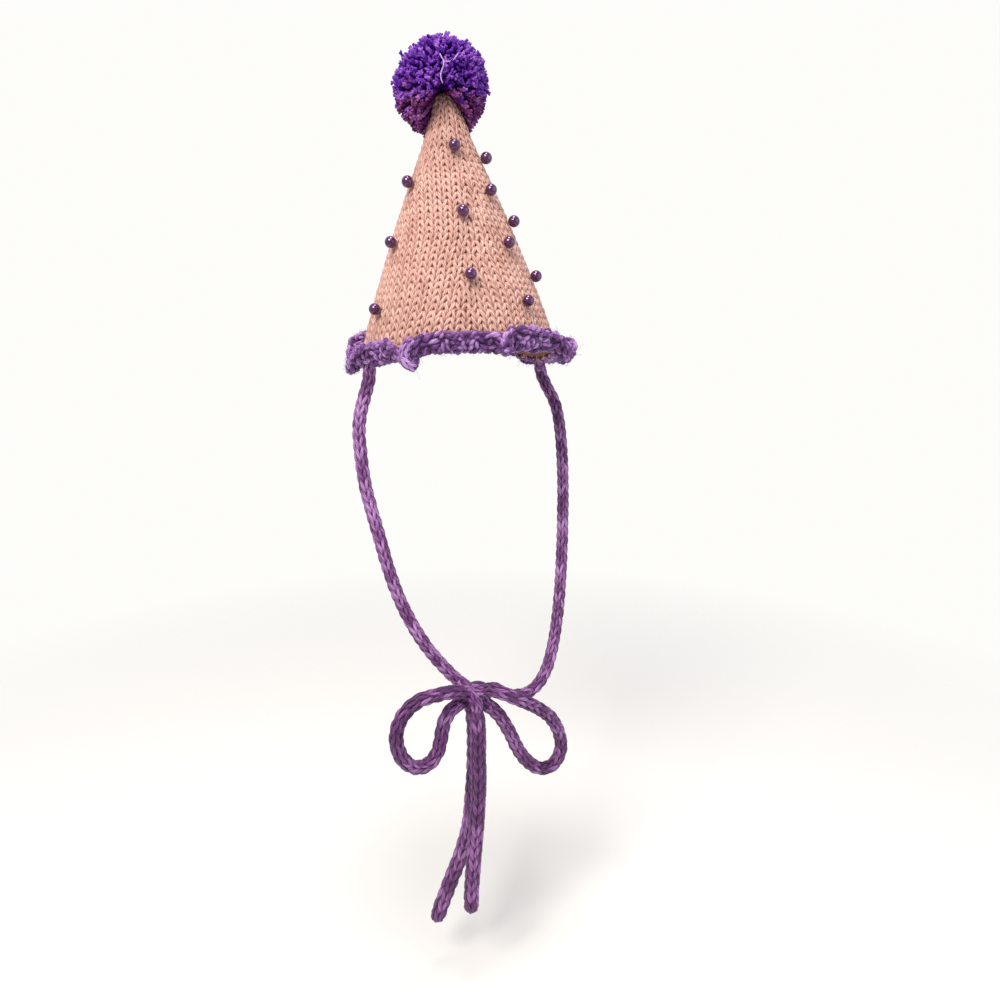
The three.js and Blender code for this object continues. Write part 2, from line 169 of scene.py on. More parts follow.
class YarnMesh:
    """Collects closed tubes and shells and turns them into one mesh with a map along the yarn."""

    def __init__(self, name: str) -> None:
        """Starts an empty mesh of that name."""
        self.name = name
        self.points: list[np.ndarray] = []
        self.shades: list[np.ndarray] = []
        self.faces: dict[int, list[np.ndarray]] = {}
        self.maps: dict[int, list[np.ndarray]] = {}
        self.count = 0

    def _add_faces(self, faces: np.ndarray, marks: np.ndarray) -> None:
        """Keeps faces of one number of corners, with their marks on the map."""
        corners = faces.shape[-1]
        self.faces.setdefault(corners, []).append(faces.reshape(-1, corners))
        self.maps.setdefault(corners, []).append(marks.reshape(-1, corners, 2))

    def add_rings(
        self, rings: np.ndarray, shade: np.ndarray | float = 0.5, closed: bool = False
    ) -> None:
        """Skins rows of rings, each row one closed body.

        Args:
            rings: points in the shape (bodies, rings, sides, 3).
            shade: a number for each body, ring or point, kept on the mesh as its shade.
            closed: whether the last ring joins the first, rather than both being capped.
        """
        bodies, count, sides = rings.shape[:3]
        number = np.arange(bodies * count * sides).reshape(bodies, count, sides) + self.count
        following = np.roll(number, -1, axis=2)
        if closed:
            ahead, ahead_following = np.roll(number, -1, axis=1), np.roll(following, -1, axis=1)
            quads = np.stack([number, following, ahead_following, ahead], axis=-1)
        else:
            quads = np.stack(
                [number[:, :-1], following[:, :-1], following[:, 1:], number[:, 1:]], axis=-1
            )
        centres = rings.mean(axis=2)
        if closed:
            centres = np.concatenate([centres, centres[:, :1]], axis=1)
        walked = running_length(centres)
        low, high = walked[:, :-1, None], walked[:, 1:, None]
        here = (np.arange(sides) / sides)[None, None, :]
        there = here + 1 / sides
        corners = ((low, here), (low, there), (high, there), (high, here))
        marks = [np.stack(np.broadcast_arrays(*corner), axis=-1) for corner in corners]
        self._add_faces(quads, np.stack(marks, axis=-2))
        if not closed:
            spots = np.stack([np.zeros(sides), np.arange(sides) / sides], axis=-1)
            for caps, place in ((number[:, 0, ::-1], walked[:, 0]), (number[:, -1], walked[:, -1])):
                cap_marks = np.broadcast_to(spots, (bodies, sides, 2)).copy()
                cap_marks[..., 0] += place[:, None]
                self._add_faces(caps, cap_marks)
        self.points.append(rings.reshape(-1, 3))
        values = np.asarray(shade, float)
        values = values.reshape(values.shape + (1,) * (3 - values.ndim))
        self.shades.append(np.broadcast_to(values, (bodies, count, sides)).ravel())
        self.count += bodies * count * sides

    def add_yarn(
        self,
        lines: np.ndarray,
        normals: np.ndarray,
        radius: np.ndarray | float,
        sides: int,
        shade: np.ndarray | float = 0.5,
        closed: bool = False,
    ) -> None:
        """Lays round yarn along lines.

        Args:
            lines: points in the shape (yarns, samples, 3).
            normals: directions across the lines, which set where each ring starts.
            radius: the yarn's radius for the whole, each yarn or each sample.
            sides: the number of sides of a ring.
            shade: a number for each yarn or sample.
            closed: whether each line joins its own start.
        """
        if closed:
            along = unit(np.roll(lines, -1, axis=1) - np.roll(lines, 1, axis=1))
        else:
            along = unit(np.gradient(lines, axis=1))
        across = normals - along * np.sum(normals * along, axis=-1, keepdims=True)
        across = unit(across)
        beside = np.cross(along, across)
        turns = TURN * np.arange(sides) / sides
        thick = np.broadcast_to(np.asarray(radius, float), lines.shape[:2])[..., None, None]
        ring = turned(across[:, :, None], beside[:, :, None], turns)
        self.add_rings(lines[:, :, None] + thick * ring, shade, closed)

    def add_fibres(
        self, roots: np.ndarray, ways: np.ndarray, length: float, rng: np.random.Generator
    ) -> None:
        """Grows thin curling fibres.

        Args:
            roots: where they start.
            ways: the directions that they start in.
            length: their mean length.
            rng: source of the differences between them.
        """
        count = len(roots)
        share = np.linspace(0, 1, 5)[None, :, None]
        aside = unit(np.cross(ways, rng.normal(0, 1, (count, 3))))[:, None]
        beside = np.cross(ways, aside[:, 0])[:, None]
        long = length * rng.uniform(0.4, 1.4, (count, 1, 1))
        bow, curl = rng.normal(0, 0.7, (2, count, 1, 1))
        lines = roots[:, None] + ways[:, None] * long * share * (1 - 0.35 * share)
        lines = lines + aside * long * bow * share**2 + beside * long * curl * share**2 * (1 - share)
        self.add_yarn(lines, np.broadcast_to(aside, lines.shape), FIBRE_RADIUS, 3, 0.9)

    def build(self) -> bpy.types.Object:
        """Makes the Blender object, smooth shaded, with its map and shade.

        Returns:
            The object, at the origin, linked to the scene.
        """
        points = np.concatenate(self.points)
        corners = np.concatenate([np.concatenate(f).ravel() for f in self.faces.values()])
        sizes = np.concatenate(
            [np.full(sum(len(x) for x in f), n, int) for n, f in self.faces.items()]
        )
        marks = np.concatenate([np.concatenate(m).reshape(-1, 2) for m in self.maps.values()])
        mesh = bpy.data.meshes.new(self.name)
        mesh.vertices.add(len(points))
        mesh.vertices.foreach_set("co", points.astype(np.float32).ravel())
        mesh.loops.add(len(corners))
        mesh.loops.foreach_set("vertex_index", corners.astype(np.int32))
        mesh.polygons.add(len(sizes))
        starts = np.concatenate([[0], np.cumsum(sizes)[:-1]])
        mesh.polygons.foreach_set("loop_start", starts.astype(np.int32))
        mesh.polygons.foreach_set("use_smooth", np.ones(len(sizes), bool))
        mesh.update(calc_edges=True)
        uv = mesh.uv_layers.new(name="yarn")
        uv.data.foreach_set("uv", marks.astype(np.float32).ravel())
        shade = mesh.attributes.new("shade", "FLOAT", "POINT")
        shade.data.foreach_set("value", np.concatenate(self.shades).astype(np.float32))
        piece = bpy.data.objects.new(self.name, mesh)
        bpy.context.scene.collection.objects.link(piece)
        return piece


# Shader arithmetic


class Signal:
    """A number socket of a node tree that takes part in Python arithmetic."""

    def __init__(self, tree: bpy.types.NodeTree, socket: bpy.types.NodeSocket) -> None:
        """Wraps an output socket."""
        self.tree = tree
        self.socket = socket

    def math(self, operation: str, *others: "Signal | float", first: bool = True) -> "Signal":
        """A Math node on this signal and others.

        Args:
            operation: the node's operation.
            others: the further values, numbers or signals.
            first: whether this signal is the node's first value, or its second.

        Returns:
            The node's result.
        """
        node = self.tree.nodes.new("ShaderNodeMath")
        node.operation = operation
        values = [self, *others] if first else [*others, self]
        for value, socket in zip(values, node.inputs):
            if isinstance(value, Signal):
                self.tree.links.new(value.socket, socket)
            else:
                socket.default_value = value
        return Signal(self.tree, node.outputs[0])

    def __add__(self, other: "Signal | float") -> "Signal":
        """Sum."""
        return self.math("ADD", other)

    __radd__ = __add__

    def __sub__(self, other: "Signal | float") -> "Signal":
        """Difference."""
        return self.math("SUBTRACT", other)

    def __rsub__(self, other: float) -> "Signal":
        """Difference from a number."""
        return self.math("SUBTRACT", other, first=False)

    def __mul__(self, other: "Signal | float") -> "Signal":
        """Product."""
        return self.math("MULTIPLY", other)

    __rmul__ = __mul__

    def wave(self) -> "Signal":
        """Sine."""
        return self.math("SINE")

    def size(self) -> "Signal":
        """Absolute value."""
        return self.math("ABSOLUTE")

    def power(self, exponent: float) -> "Signal":
        """Power."""
        return self.math("POWER", exponent)

    def held(self) -> "Signal":
        """Value kept from 0 to 1."""
        node = self.tree.nodes.new("ShaderNodeClamp")
        self.tree.links.new(self.socket, node.inputs[0])
        return Signal(self.tree, node.outputs[0])


class Recipe:
    """A material under construction: one Principled shader and the nodes that feed it."""

    def __init__(self, name: str) -> None:
        """Starts a material of that name."""
        self.material = bpy.data.materials.new(name)
        self.material.use_nodes = True
        self.tree = self.material.node_tree
        self.shader = self.tree.nodes["Principled BSDF"]

    def node(
        self, kind: str, settings: dict | None = None, inputs: dict | None = None, output: int | str = 0
    ) -> Signal:
        """Adds any other node.

        Args:
            kind: the node's type.
            settings: its properties, set first.
            inputs: values or signals for its sockets, by name or number.
            output: the socket to hand back.

        Returns:
            That output as a signal.
        """
        node = self.tree.nodes.new(kind)
        for key, value in (settings or {}).items():
            setattr(node, key, value)
        for key, value in (inputs or {}).items():
            if isinstance(value, Signal):
                self.tree.links.new(value.socket, node.inputs[key])
            else:
                node.inputs[key].default_value = value
        return Signal(self.tree, node.outputs[output])

    def colour_mix(self, share: Signal, low: "Signal | tuple", high: "Signal | tuple") -> Signal:
        """A colour between two others, by a share."""
        low, high = (c if isinstance(c, Signal) else (*c, 1.0) for c in (low, high))
        return self.node(
            "ShaderNodeMix", {"data_type": "RGBA"}, {0: share, 6: low, 7: high}, output=2
        )

    def vector(self, x: Signal | float, y: Signal | float, z: Signal | float = 0.0) -> Signal:
        """A vector put together from three numbers."""
        return self.node("ShaderNodeCombineXYZ", inputs={0: x, 1: y, 2: z})

    def feed(self, **sockets: "Signal | float | tuple") -> None:
        """Sets sockets of the shader, whose names have underscores for spaces."""
        for key, value in sockets.items():
            socket = self.shader.inputs[key.replace("_", " ")]
            if isinstance(value, Signal):
                self.tree.links.new(value.socket, socket)
            else:
                socket.default_value = value


@dataclass(frozen=True)
class YarnFinish:
    """Plied yarn: its colours, its twist, and how much it shines."""

    name: str
    # deep and light are the darkest and palest tones, reached through painted shade and painted
    # highlights as well as the yarn's random tone.
    deep: tuple[float, float, float]
    body: tuple[float, float, float]
    light: tuple[float, float, float]
    ply_length: float
    plies: int = 3
    relief: float = 0.55
    relief_depth: float = 0.25 * MM
    roughness: float = 0.62
    sheen: float = 0.35
    hair: float = 0.5
    streak_scale: float = 420.0
    patch_scale: float = 90.0
    patch_weight: float = 0.5
    contrast: float = 0.5
    ply_weight: float = 0.55
    bias: float = -0.12
    gloss: float = 0.35

    def make(self) -> bpy.types.Material:
        """Builds the material.

        Returns:
            A material that follows the map along the yarn and the shade of each stitch.
        """
        mix = Recipe(self.name)
        place = mix.node("ShaderNodeUVMap", {"uv_map": "yarn"})
        along = mix.node("ShaderNodeSeparateXYZ", inputs={0: place}, output=0)
        around = mix.node("ShaderNodeSeparateXYZ", inputs={0: place}, output=1)
        shade = mix.node("ShaderNodeAttribute", {"attribute_name": "shade"}, output="Fac")
        # Painted light: the ply pattern below paints shade in the grooves between plies and highlights
        # on their crests; the shade attribute brings each piece's painted shade and random stitch
        # tones, and the streaks and blotches are random tone.
        phase = around * self.plies + along * (1 / self.ply_length)
        ply = (phase * math.pi).wave().size().power(0.7)
        strands = mix.node(
            "ShaderNodeTexNoise",
            {"noise_dimensions": "3D"},
            {
                "Vector": mix.vector(along * self.streak_scale, phase * 5.0, shade * 9),
                "Scale": 1.0,
                "Detail": 3.0,
            },
        )
        spot = mix.node("ShaderNodeTexCoord", output="Object")
        patches = mix.node(
            "ShaderNodeTexNoise", inputs={"Vector": spot, "Scale": self.patch_scale, "Detail": 2.0}
        )
        tone = ply * self.ply_weight + strands * self.hair + (shade - 0.5) * self.contrast
        tone = tone + (patches - 0.5) * self.patch_weight + self.bias
        low = mix.colour_mix((tone * 1.6).held(), self.deep, self.body)
        colour = mix.colour_mix(((tone - 0.5) * 1.5).held(), low, self.light)
        height = ply + strands * 0.35
        bump = mix.node(
            "ShaderNodeBump",
            inputs={"Strength": self.relief, "Distance": self.relief_depth, "Height": height},
        )
        mix.feed(
            Base_Color=colour,
            Roughness=self.roughness + (0.5 - strands) * 0.2,
            Normal=bump,
            Sheen_Weight=self.sheen,
            Sheen_Roughness=0.45,
            Sheen_Tint=(*self.light, 1.0),
            Specular_IOR_Level=self.gloss,
        )
        return mix.material


@dataclass(frozen=True)
class PearlFinish:
    """Dark pearl coating of the beads."""

    name: str = "dark_pearl"
    deep: tuple[float, float, float] = (0.035, 0.006, 0.035)
    body: tuple[float, float, float] = (0.16, 0.035, 0.15)
    painted_rim_sheen: tuple[float, float, float] = (0.5, 0.33, 0.62)

    def make(self) -> bpy.types.Material:
        """Builds the material: a metallic plum with a painted sheen, a paler rim towards grazing
        angles, under a clear coat.
        """
        mix = Recipe(self.name)
        spot = mix.node("ShaderNodeTexCoord", output="Object")
        cloud = mix.node("ShaderNodeTexNoise", inputs={"Vector": spot, "Scale": 420.0, "Detail": 3.0})
        facing = mix.node("ShaderNodeLayerWeight", inputs={"Blend": 0.35}, output="Facing")
        base = mix.colour_mix(cloud, self.deep, self.body)
        # Painted sheen: the colour pales towards the rim, where the surface turns away from the view.
        colour = mix.colour_mix((facing * 0.8).power(2.0), base, self.painted_rim_sheen)
        bump = mix.node(
            "ShaderNodeBump", inputs={"Strength": 0.06, "Distance": 0.1 * MM, "Height": cloud}
        )
        mix.feed(
            Base_Color=colour,
            Metallic=0.75,
            Roughness=0.2 + cloud * 0.08,
            Normal=bump,
            Coat_Weight=1.0,
            Coat_Roughness=0.06,
        )
        return mix.material


PINK_YARN = YarnFinish(
    "pink_yarn",
    deep=(0.27, 0.1, 0.07),
    body=(0.56, 0.315, 0.258),
    light=(0.72, 0.47, 0.41),
    ply_length=5.6 * MM,
    plies=4,
    relief=0.7,
)
# Painted shade: the dark pink of the backing stands for the shade in the gaps between the crown's
# loops.
PINK_BACK_SHADE = YarnFinish(
    "pink_back_painted_shade",
    deep=(0.13, 0.04, 0.025),
    body=(0.28, 0.11, 0.075),
    light=(0.36, 0.16, 0.11),
    ply_length=6 * MM,
)
PURPLE_YARN = YarnFinish(
    "purple_yarn",
    deep=(0.045, 0.009, 0.058),
    body=(0.165, 0.046, 0.185),
    light=(0.48, 0.26, 0.54),
    ply_length=4.8 * MM,
    roughness=0.42,
    sheen=0.2,
    relief=0.6,
    contrast=0.85,
    ply_weight=0.34,
    bias=0.0,
)
FRILL_YARN = replace(
    PURPLE_YARN,
    name="frill_yarn",
    deep=(0.045, 0.009, 0.075),
    body=(0.18, 0.055, 0.24),
    light=(0.58, 0.36, 0.72),
)
# Painted shade: a near-black purple for the frill's heart, seen only in the gaps between bumps.
PURPLE_CORE_SHADE = YarnFinish(
    "purple_core_painted_shade",
    deep=(0.022, 0.004, 0.026),
    body=(0.05, 0.012, 0.06),
    light=(0.07, 0.02, 0.09),
    ply_length=5 * MM,
)
VIOLET_YARN = YarnFinish(
    "violet_yarn",
    deep=(0.04, 0.001, 0.17),
    body=(0.11, 0.012, 0.32),
    light=(0.4, 0.15, 0.62),
    ply_length=3.2 * MM,
    plies=2,
    roughness=0.55,
    sheen=0.0,
    contrast=1.2,
    ply_weight=0.4,
    bias=-0.16,
    gloss=0.2,
)
# Painted warm bounce light: a plum copy of the violet yarn for the lower ends of the pompom.
PLUM_BOUNCE_YARN = replace(
    VIOLET_YARN,
    name="plum_yarn_painted_bounce_light",
    deep=(0.055, 0.002, 0.06),
    body=(0.16, 0.02, 0.16),
    light=(0.44, 0.16, 0.44),
)
# Painted shade: a near-black violet for the pompom's heart, seen only between the ends.
VIOLET_CORE_SHADE = YarnFinish(
    "violet_core_painted_shade",
    deep=(0.014, 0.001, 0.05),
    body=(0.03, 0.003, 0.08),
    light=(0.04, 0.008, 0.11),
    ply_length=5 * MM,
)
THREAD = YarnFinish(
    "pale_thread",
    deep=(0.32, 0.16, 0.52),
    body=(0.5, 0.32, 0.7),
    light=(0.68, 0.52, 0.84),
    ply_length=2 * MM,
)


class Slot(Enum):
    """The record's material slots."""

    PINK = "pink_knit"
    PURPLE = "purple_knit"
    VIOLET = "violet_yarn"
    PEARL = "pearl_bead"


class Wardrobe:
    """Makes each finish once and dresses pieces in it."""

    def __init__(self) -> None:
        """Starts with no finish made."""
        self.made: dict[str, bpy.types.Material] = {}

    def dress(
        self,
        piece: bpy.types.Object,
        finish: YarnFinish | PearlFinish,
        slot: Slot,
        *nodes: str,
    ) -> bpy.types.Object:
        """Gives a piece its finish, its body, its slot and the nodes that it stands for.

        Args:
            piece: the finished object.
            finish: the look of its surface.
            slot: the record's material slot; not used.
            nodes: the CAD nodes that it replaces.

        Returns:
            The same object.
        """
        if finish.name not in self.made:
            self.made[finish.name] = finish.make()
        piece.data.materials.clear()
        piece.data.materials.append(self.made[finish.name])
        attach(piece, "root")
        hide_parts(*nodes)
        LOG.info("%s: %d faces", piece.name, len(piece.data.polygons))
        return piece


# Forms that the yarn follows


@dataclass
class CrownForm:
    """The leaning cone of the crown, as azimuth, distance up its slope and height above it."""

    rim_radius: float
    height: float
    droop: float
    lean: float = 5.9 * MM
    lean_azimuth: float = -123.0
    lean_curve: float = 1.2
    droop_curve: float = 6.0
    sections: tuple[tuple[float, float], ...] = (
        (-0.08, 1.06),
        (0, 1),
        (0.05, 0.962),
        (0.12, 0.911),
        (0.24, 0.808),
        (0.368, 0.69),
        (0.485, 0.582),
        (0.593, 0.479),
        (0.7, 0.37),
        (0.79, 0.278),
        (0.86, 0.216),
        (0.93, 0.163),
        (0.97, 0.142),
        (0.995, 0.115),
        (1.012, 0.07),
        (1.018, 0.008),
    )

    def __post_init__(self) -> None:
        """Works out the distance up the slope at each height."""
        shares, radii = (np.array(column) for column in zip(*self.sections))
        fine = np.linspace(shares[0], shares[-1], 400)
        self.heights = fine * self.height
        self.radii = np.interp(fine, shares, radii) * self.rim_radius
        walked = running_length(np.stack([self.heights, self.radii], axis=-1))
        self.slopes = walked - np.interp(0, self.heights, walked)

    def radius_at(self, slope: np.ndarray) -> np.ndarray:
        """Radius at a distance up the slope."""
        return np.interp(slope, self.slopes, self.radii)

    def height_at(self, slope: np.ndarray) -> np.ndarray:
        """Height at a distance up the slope."""
        return np.interp(slope, self.slopes, self.heights)

    def axis(self, height: np.ndarray) -> np.ndarray:
        """Centre of the crown at a height, in the plane of the rim."""
        share = np.clip(height / self.height, 0, None)
        way = outward(np.radians(self.lean_azimuth))
        return (self.lean * share**self.lean_curve)[..., None] * way

    def place(
        self, azimuth: np.ndarray, slope: np.ndarray, proud: np.ndarray | float
    ) -> tuple[np.ndarray, np.ndarray]:
        """Points over the crown.

        Args:
            azimuth: azimuths in radians.
            slope: distances up the slope from the rim.
            proud: distances out of the surface.

        Returns:
            The points, and the surface's normals there.
        """
        height = self.height_at(slope)
        radius = self.radius_at(slope)
        step = 1.5 * MM
        fall = self.radius_at(slope - step) - self.radius_at(slope + step)
        rise = self.height_at(slope + step) - self.height_at(slope - step)
        out = outward(azimuth)
        normal = unit(out * rise[..., None] + UP * fall[..., None])
        share = np.clip(1 - height / (self.height / 2), 0, 1)
        drop = -self.droop * np.abs(np.sin(azimuth)) ** self.droop_curve * share**2
        point = out * radius[..., None] + self.axis(height) + UP * (height + drop)[..., None]
        return point + normal * np.asarray(proud)[..., None], normal


@dataclass
class FrillForm:
    """The gathered band round the rim, as azimuth, distance out and height in its thickness."""

    rim_radius: float
    droop: float
    width: float = 10.4 * MM
    thickness: float = 4.8 * MM
    rise: float = 1.2 * MM
    bend: float = 2.6 * MM
    touch_gap: float = 0.3 * MM
    lift: float = math.radians(75)
    pinch: float = math.radians(12)
    slope_reach: float = math.radians(2)
    droop_curve: float = 6.0
    folds: tuple[tuple[float, float, float], ...] = (
        (-146, 0.85, 0.98),
        (-121, -0.85, 1.05),
        (-101, -0.6, 1.02),
        (-74, 1, 1.1),
        (-51, -0.75, 1),
        (-39, 0.98, 1),
        (-31, 0.84, 0.92),
        (-20, 0.95, 0.96),
        (-9, -0.2, 1),
        (2, 1.05, 1.18),
        (14, 0.85, 1.12),
        (35, -0.85, 1.05),
        (62, 0.75, 1),
        (90, -0.15, 1.02),
        (110, -0.5, 1),
        (130, 0.85, 0.98),
        (153, -0.5, 1),
        (176, 0.85, 0.96),
        (199, -0.45, 1),
    )

    def read(self, azimuth: np.ndarray, column: int) -> np.ndarray:
        """Smooth reading of the table of folds, which closes on itself after a full turn."""
        table = np.array(self.folds)
        places = np.radians(np.append(table[:, 0], table[0, 0] + 360))
        values = np.append(table[:, column], table[0, column])
        at = places[0] + np.mod(azimuth - places[0], TURN)
        row = np.clip(np.searchsorted(places, at, side="right") - 1, 0, len(table) - 1)
        share = (at - places[row]) / (places[row + 1] - places[row])
        eased = (1 - np.cos(math.pi * share)) / 2
        return values[row] + (values[row + 1] - values[row]) * eased

    def place(self, azimuth: np.ndarray, along: np.ndarray, through: np.ndarray) -> np.ndarray:
        """Points of the band.

        Args:
            azimuth: azimuths in radians.
            along: distances out from the rim, along the band.
            through: heights above the middle of the band's thickness.

        Returns:
            The points in the frame of the model.
        """
        azimuth, along, through = np.broadcast_arrays(azimuth, along, through)
        lift = self.lift * self.read(azimuth, 1)
        lift = np.where(np.abs(lift) < 1e-4, 1e-4, lift)
        slope = self.read(azimuth + self.slope_reach, 1) - self.read(azimuth - self.slope_reach, 1)
        reach = np.clip(along, 0, None) / self.width
        out_along = np.clip(along, 0, None) * self.read(azimuth, 2)
        turn = lift * np.minimum(1, out_along / self.bend)
        rest = np.clip(out_along - self.bend, 0, None)
        radius = self.bend / lift
        out = radius * np.sin(turn) + rest * np.cos(turn) - through * np.sin(turn)
        out = out + np.minimum(along, 0)
        up = radius * (1 - np.cos(turn)) + rest * np.sin(turn) + through * np.cos(turn)
        swung = outward(azimuth - self.pinch * slope * reach)
        rim = -self.droop * np.abs(np.sin(azimuth)) ** self.droop_curve
        root = self.rim_radius + self.touch_gap
        return swung * (root + out)[..., None] + UP * (rim + self.rise + up)[..., None]


# Crown


@dataclass
class Crown:
    """The stockinette cone: one round of yarn for each row, over a thin backing."""

    form: CrownForm
    stitch_width: float = 5.0 * MM
    row_height: float = 3.55 * MM
    yarn_radius: float = 0.98 * MM
    loop_height: float = 2.95 * MM
    loop_swell: float = 0.235
    loop_depth: float = 0.72 * MM
    seat: float = -1.45 * MM
    tip_radius: float = 1.5 * MM
    first_row: float = 1.1
    squeezed_stitches: int = 4
    samples: int = 16
    sides: int = 6
    split_row: int = 12
    back_depths: tuple[float, float] = (0.55 * MM, 0.05 * MM)
    decrease_line: tuple[tuple[float, float], ...] = (
        (-0.06, -46),
        (0.09, -42.3),
        (0.21, -36.6),
        (0.35, -31.8),
        (0.45, -25.6),
        (0.75, -22),
        (1, -20),
    )

    def border(self, slope: np.ndarray, section: np.ndarray) -> np.ndarray:
        """Azimuth of the decrease line on the right of each of the four sections."""
        share = self.form.height_at(slope) / self.form.height
        places, angles = zip(*self.decrease_line)
        return np.radians(np.interp(share, places, angles)) + section * TURN / 4

    def row_line(self, slope: float, rng: np.random.Generator) -> tuple[np.ndarray, ...]:
        """One round of stitches.

        Args:
            slope: distance of the row up the slope.
            rng: source of the small differences between stitches.

        Returns:
            The yarn's line, the surface normals along it, and a shade for each sample.
        """
        form = self.form
        quarter = form.radius_at(np.array(slope)) * TURN / 4
        count = max(1, round(float(quarter) / self.stitch_width))
        section = np.repeat(np.arange(4), count)
        column = np.tile(np.arange(count)[::-1], 4)
        turn = np.linspace(-math.pi, math.pi, self.samples, endpoint=False)
        swell = self.loop_swell * (1 + rng.normal(0, 0.05, (4 * count, 1)))
        across = turn / TURN + swell * np.sin(2 * turn)
        at = column[:, None] + 0.5 - across
        head = (1 + np.cos(turn)) / 2
        tall = self.loop_height * (1 + rng.normal(0, 0.1, (4 * count, 1)) * head)
        offset = rng.normal(0, 0.2 * MM, (4 * count, 1)) * np.sin(turn) ** 2
        up = slope + tall * np.cos(turn) + offset
        room = form.radius_at(up) * TURN / 4
        lead = max(0, count - self.squeezed_stitches)
        width = np.minimum(self.stitch_width, room / count) if lead == 0 else self.stitch_width
        tail = (room - lead * width) / (count - lead)
        distance = np.where(at <= lead, at * width, lead * width + (at - lead) * tail)
        azimuth = self.border(up, section[:, None]) - distance / form.radius_at(up)
        depth = -self.loop_depth * np.cos(2 * turn) * (1 + rng.normal(0, 0.08, (4 * count, 1)))
        proud = self.seat + depth
        points, normals = form.place(azimuth, up, proud)
        # shade: a random tone for each stitch, less painted shade at the heads and feet of the loops,
        # where they dip into the knit.
        shade = (rng.uniform(0.2, 0.8, (4 * count, 1)) - 0.25 * np.cos(2 * turn)).ravel()
        return points.reshape(1, -1, 3), normals.reshape(1, -1, 3), shade[None]

    def knit(self, wardrobe: Wardrobe) -> None:
        """Builds the two knitted pieces of the crown."""
        rng = np.random.default_rng(11)
        pieces = [YarnMesh("crown_knit_lower"), YarnMesh("crown_knit_upper")]
        slope, row = self.row_height * self.first_row, 0
        while self.form.radius_at(np.array(slope)) > self.tip_radius:
            line, normals, shade = self.row_line(slope, rng)
            radius = self.yarn_radius * (1 + 0.04 * np.sin(np.arange(line.shape[1]) / 7.0))
            piece = pieces[int(row >= self.split_row)]
            piece.add_yarn(line, normals, radius, self.sides, shade, closed=True)
            slope += self.row_height
            row += 1
        for piece in pieces:
            wardrobe.dress(piece.build(), PINK_YARN, Slot.PINK, "crown")
        LOG.info("crown: %d rows", row)

    def back(self, wardrobe: Wardrobe) -> None:
        """Builds the thin wall in the middle of the knit, which closes the gaps between loops; its dark
        pink is painted shade between the loops.
        """
        form = self.form
        top = form.slopes[-1]
        outside = np.linspace(0.6 * MM, top - 0.4 * MM, 60)
        azimuth = np.linspace(0, TURN, 96, endpoint=False)
        rings = []
        for slopes, depth in zip((outside[::-1], outside), self.back_depths):
            across, up = np.broadcast_arrays(azimuth[None, :], slopes[:, None])
            rings.append(form.place(across, up, np.full(up.shape, self.seat - depth))[0])
        wall = YarnMesh("crown_back")
        wall.add_rings(np.concatenate(rings)[None], 0.5)
        wardrobe.dress(wall.build(), PINK_BACK_SHADE, Slot.PINK, "crown")


# Frill


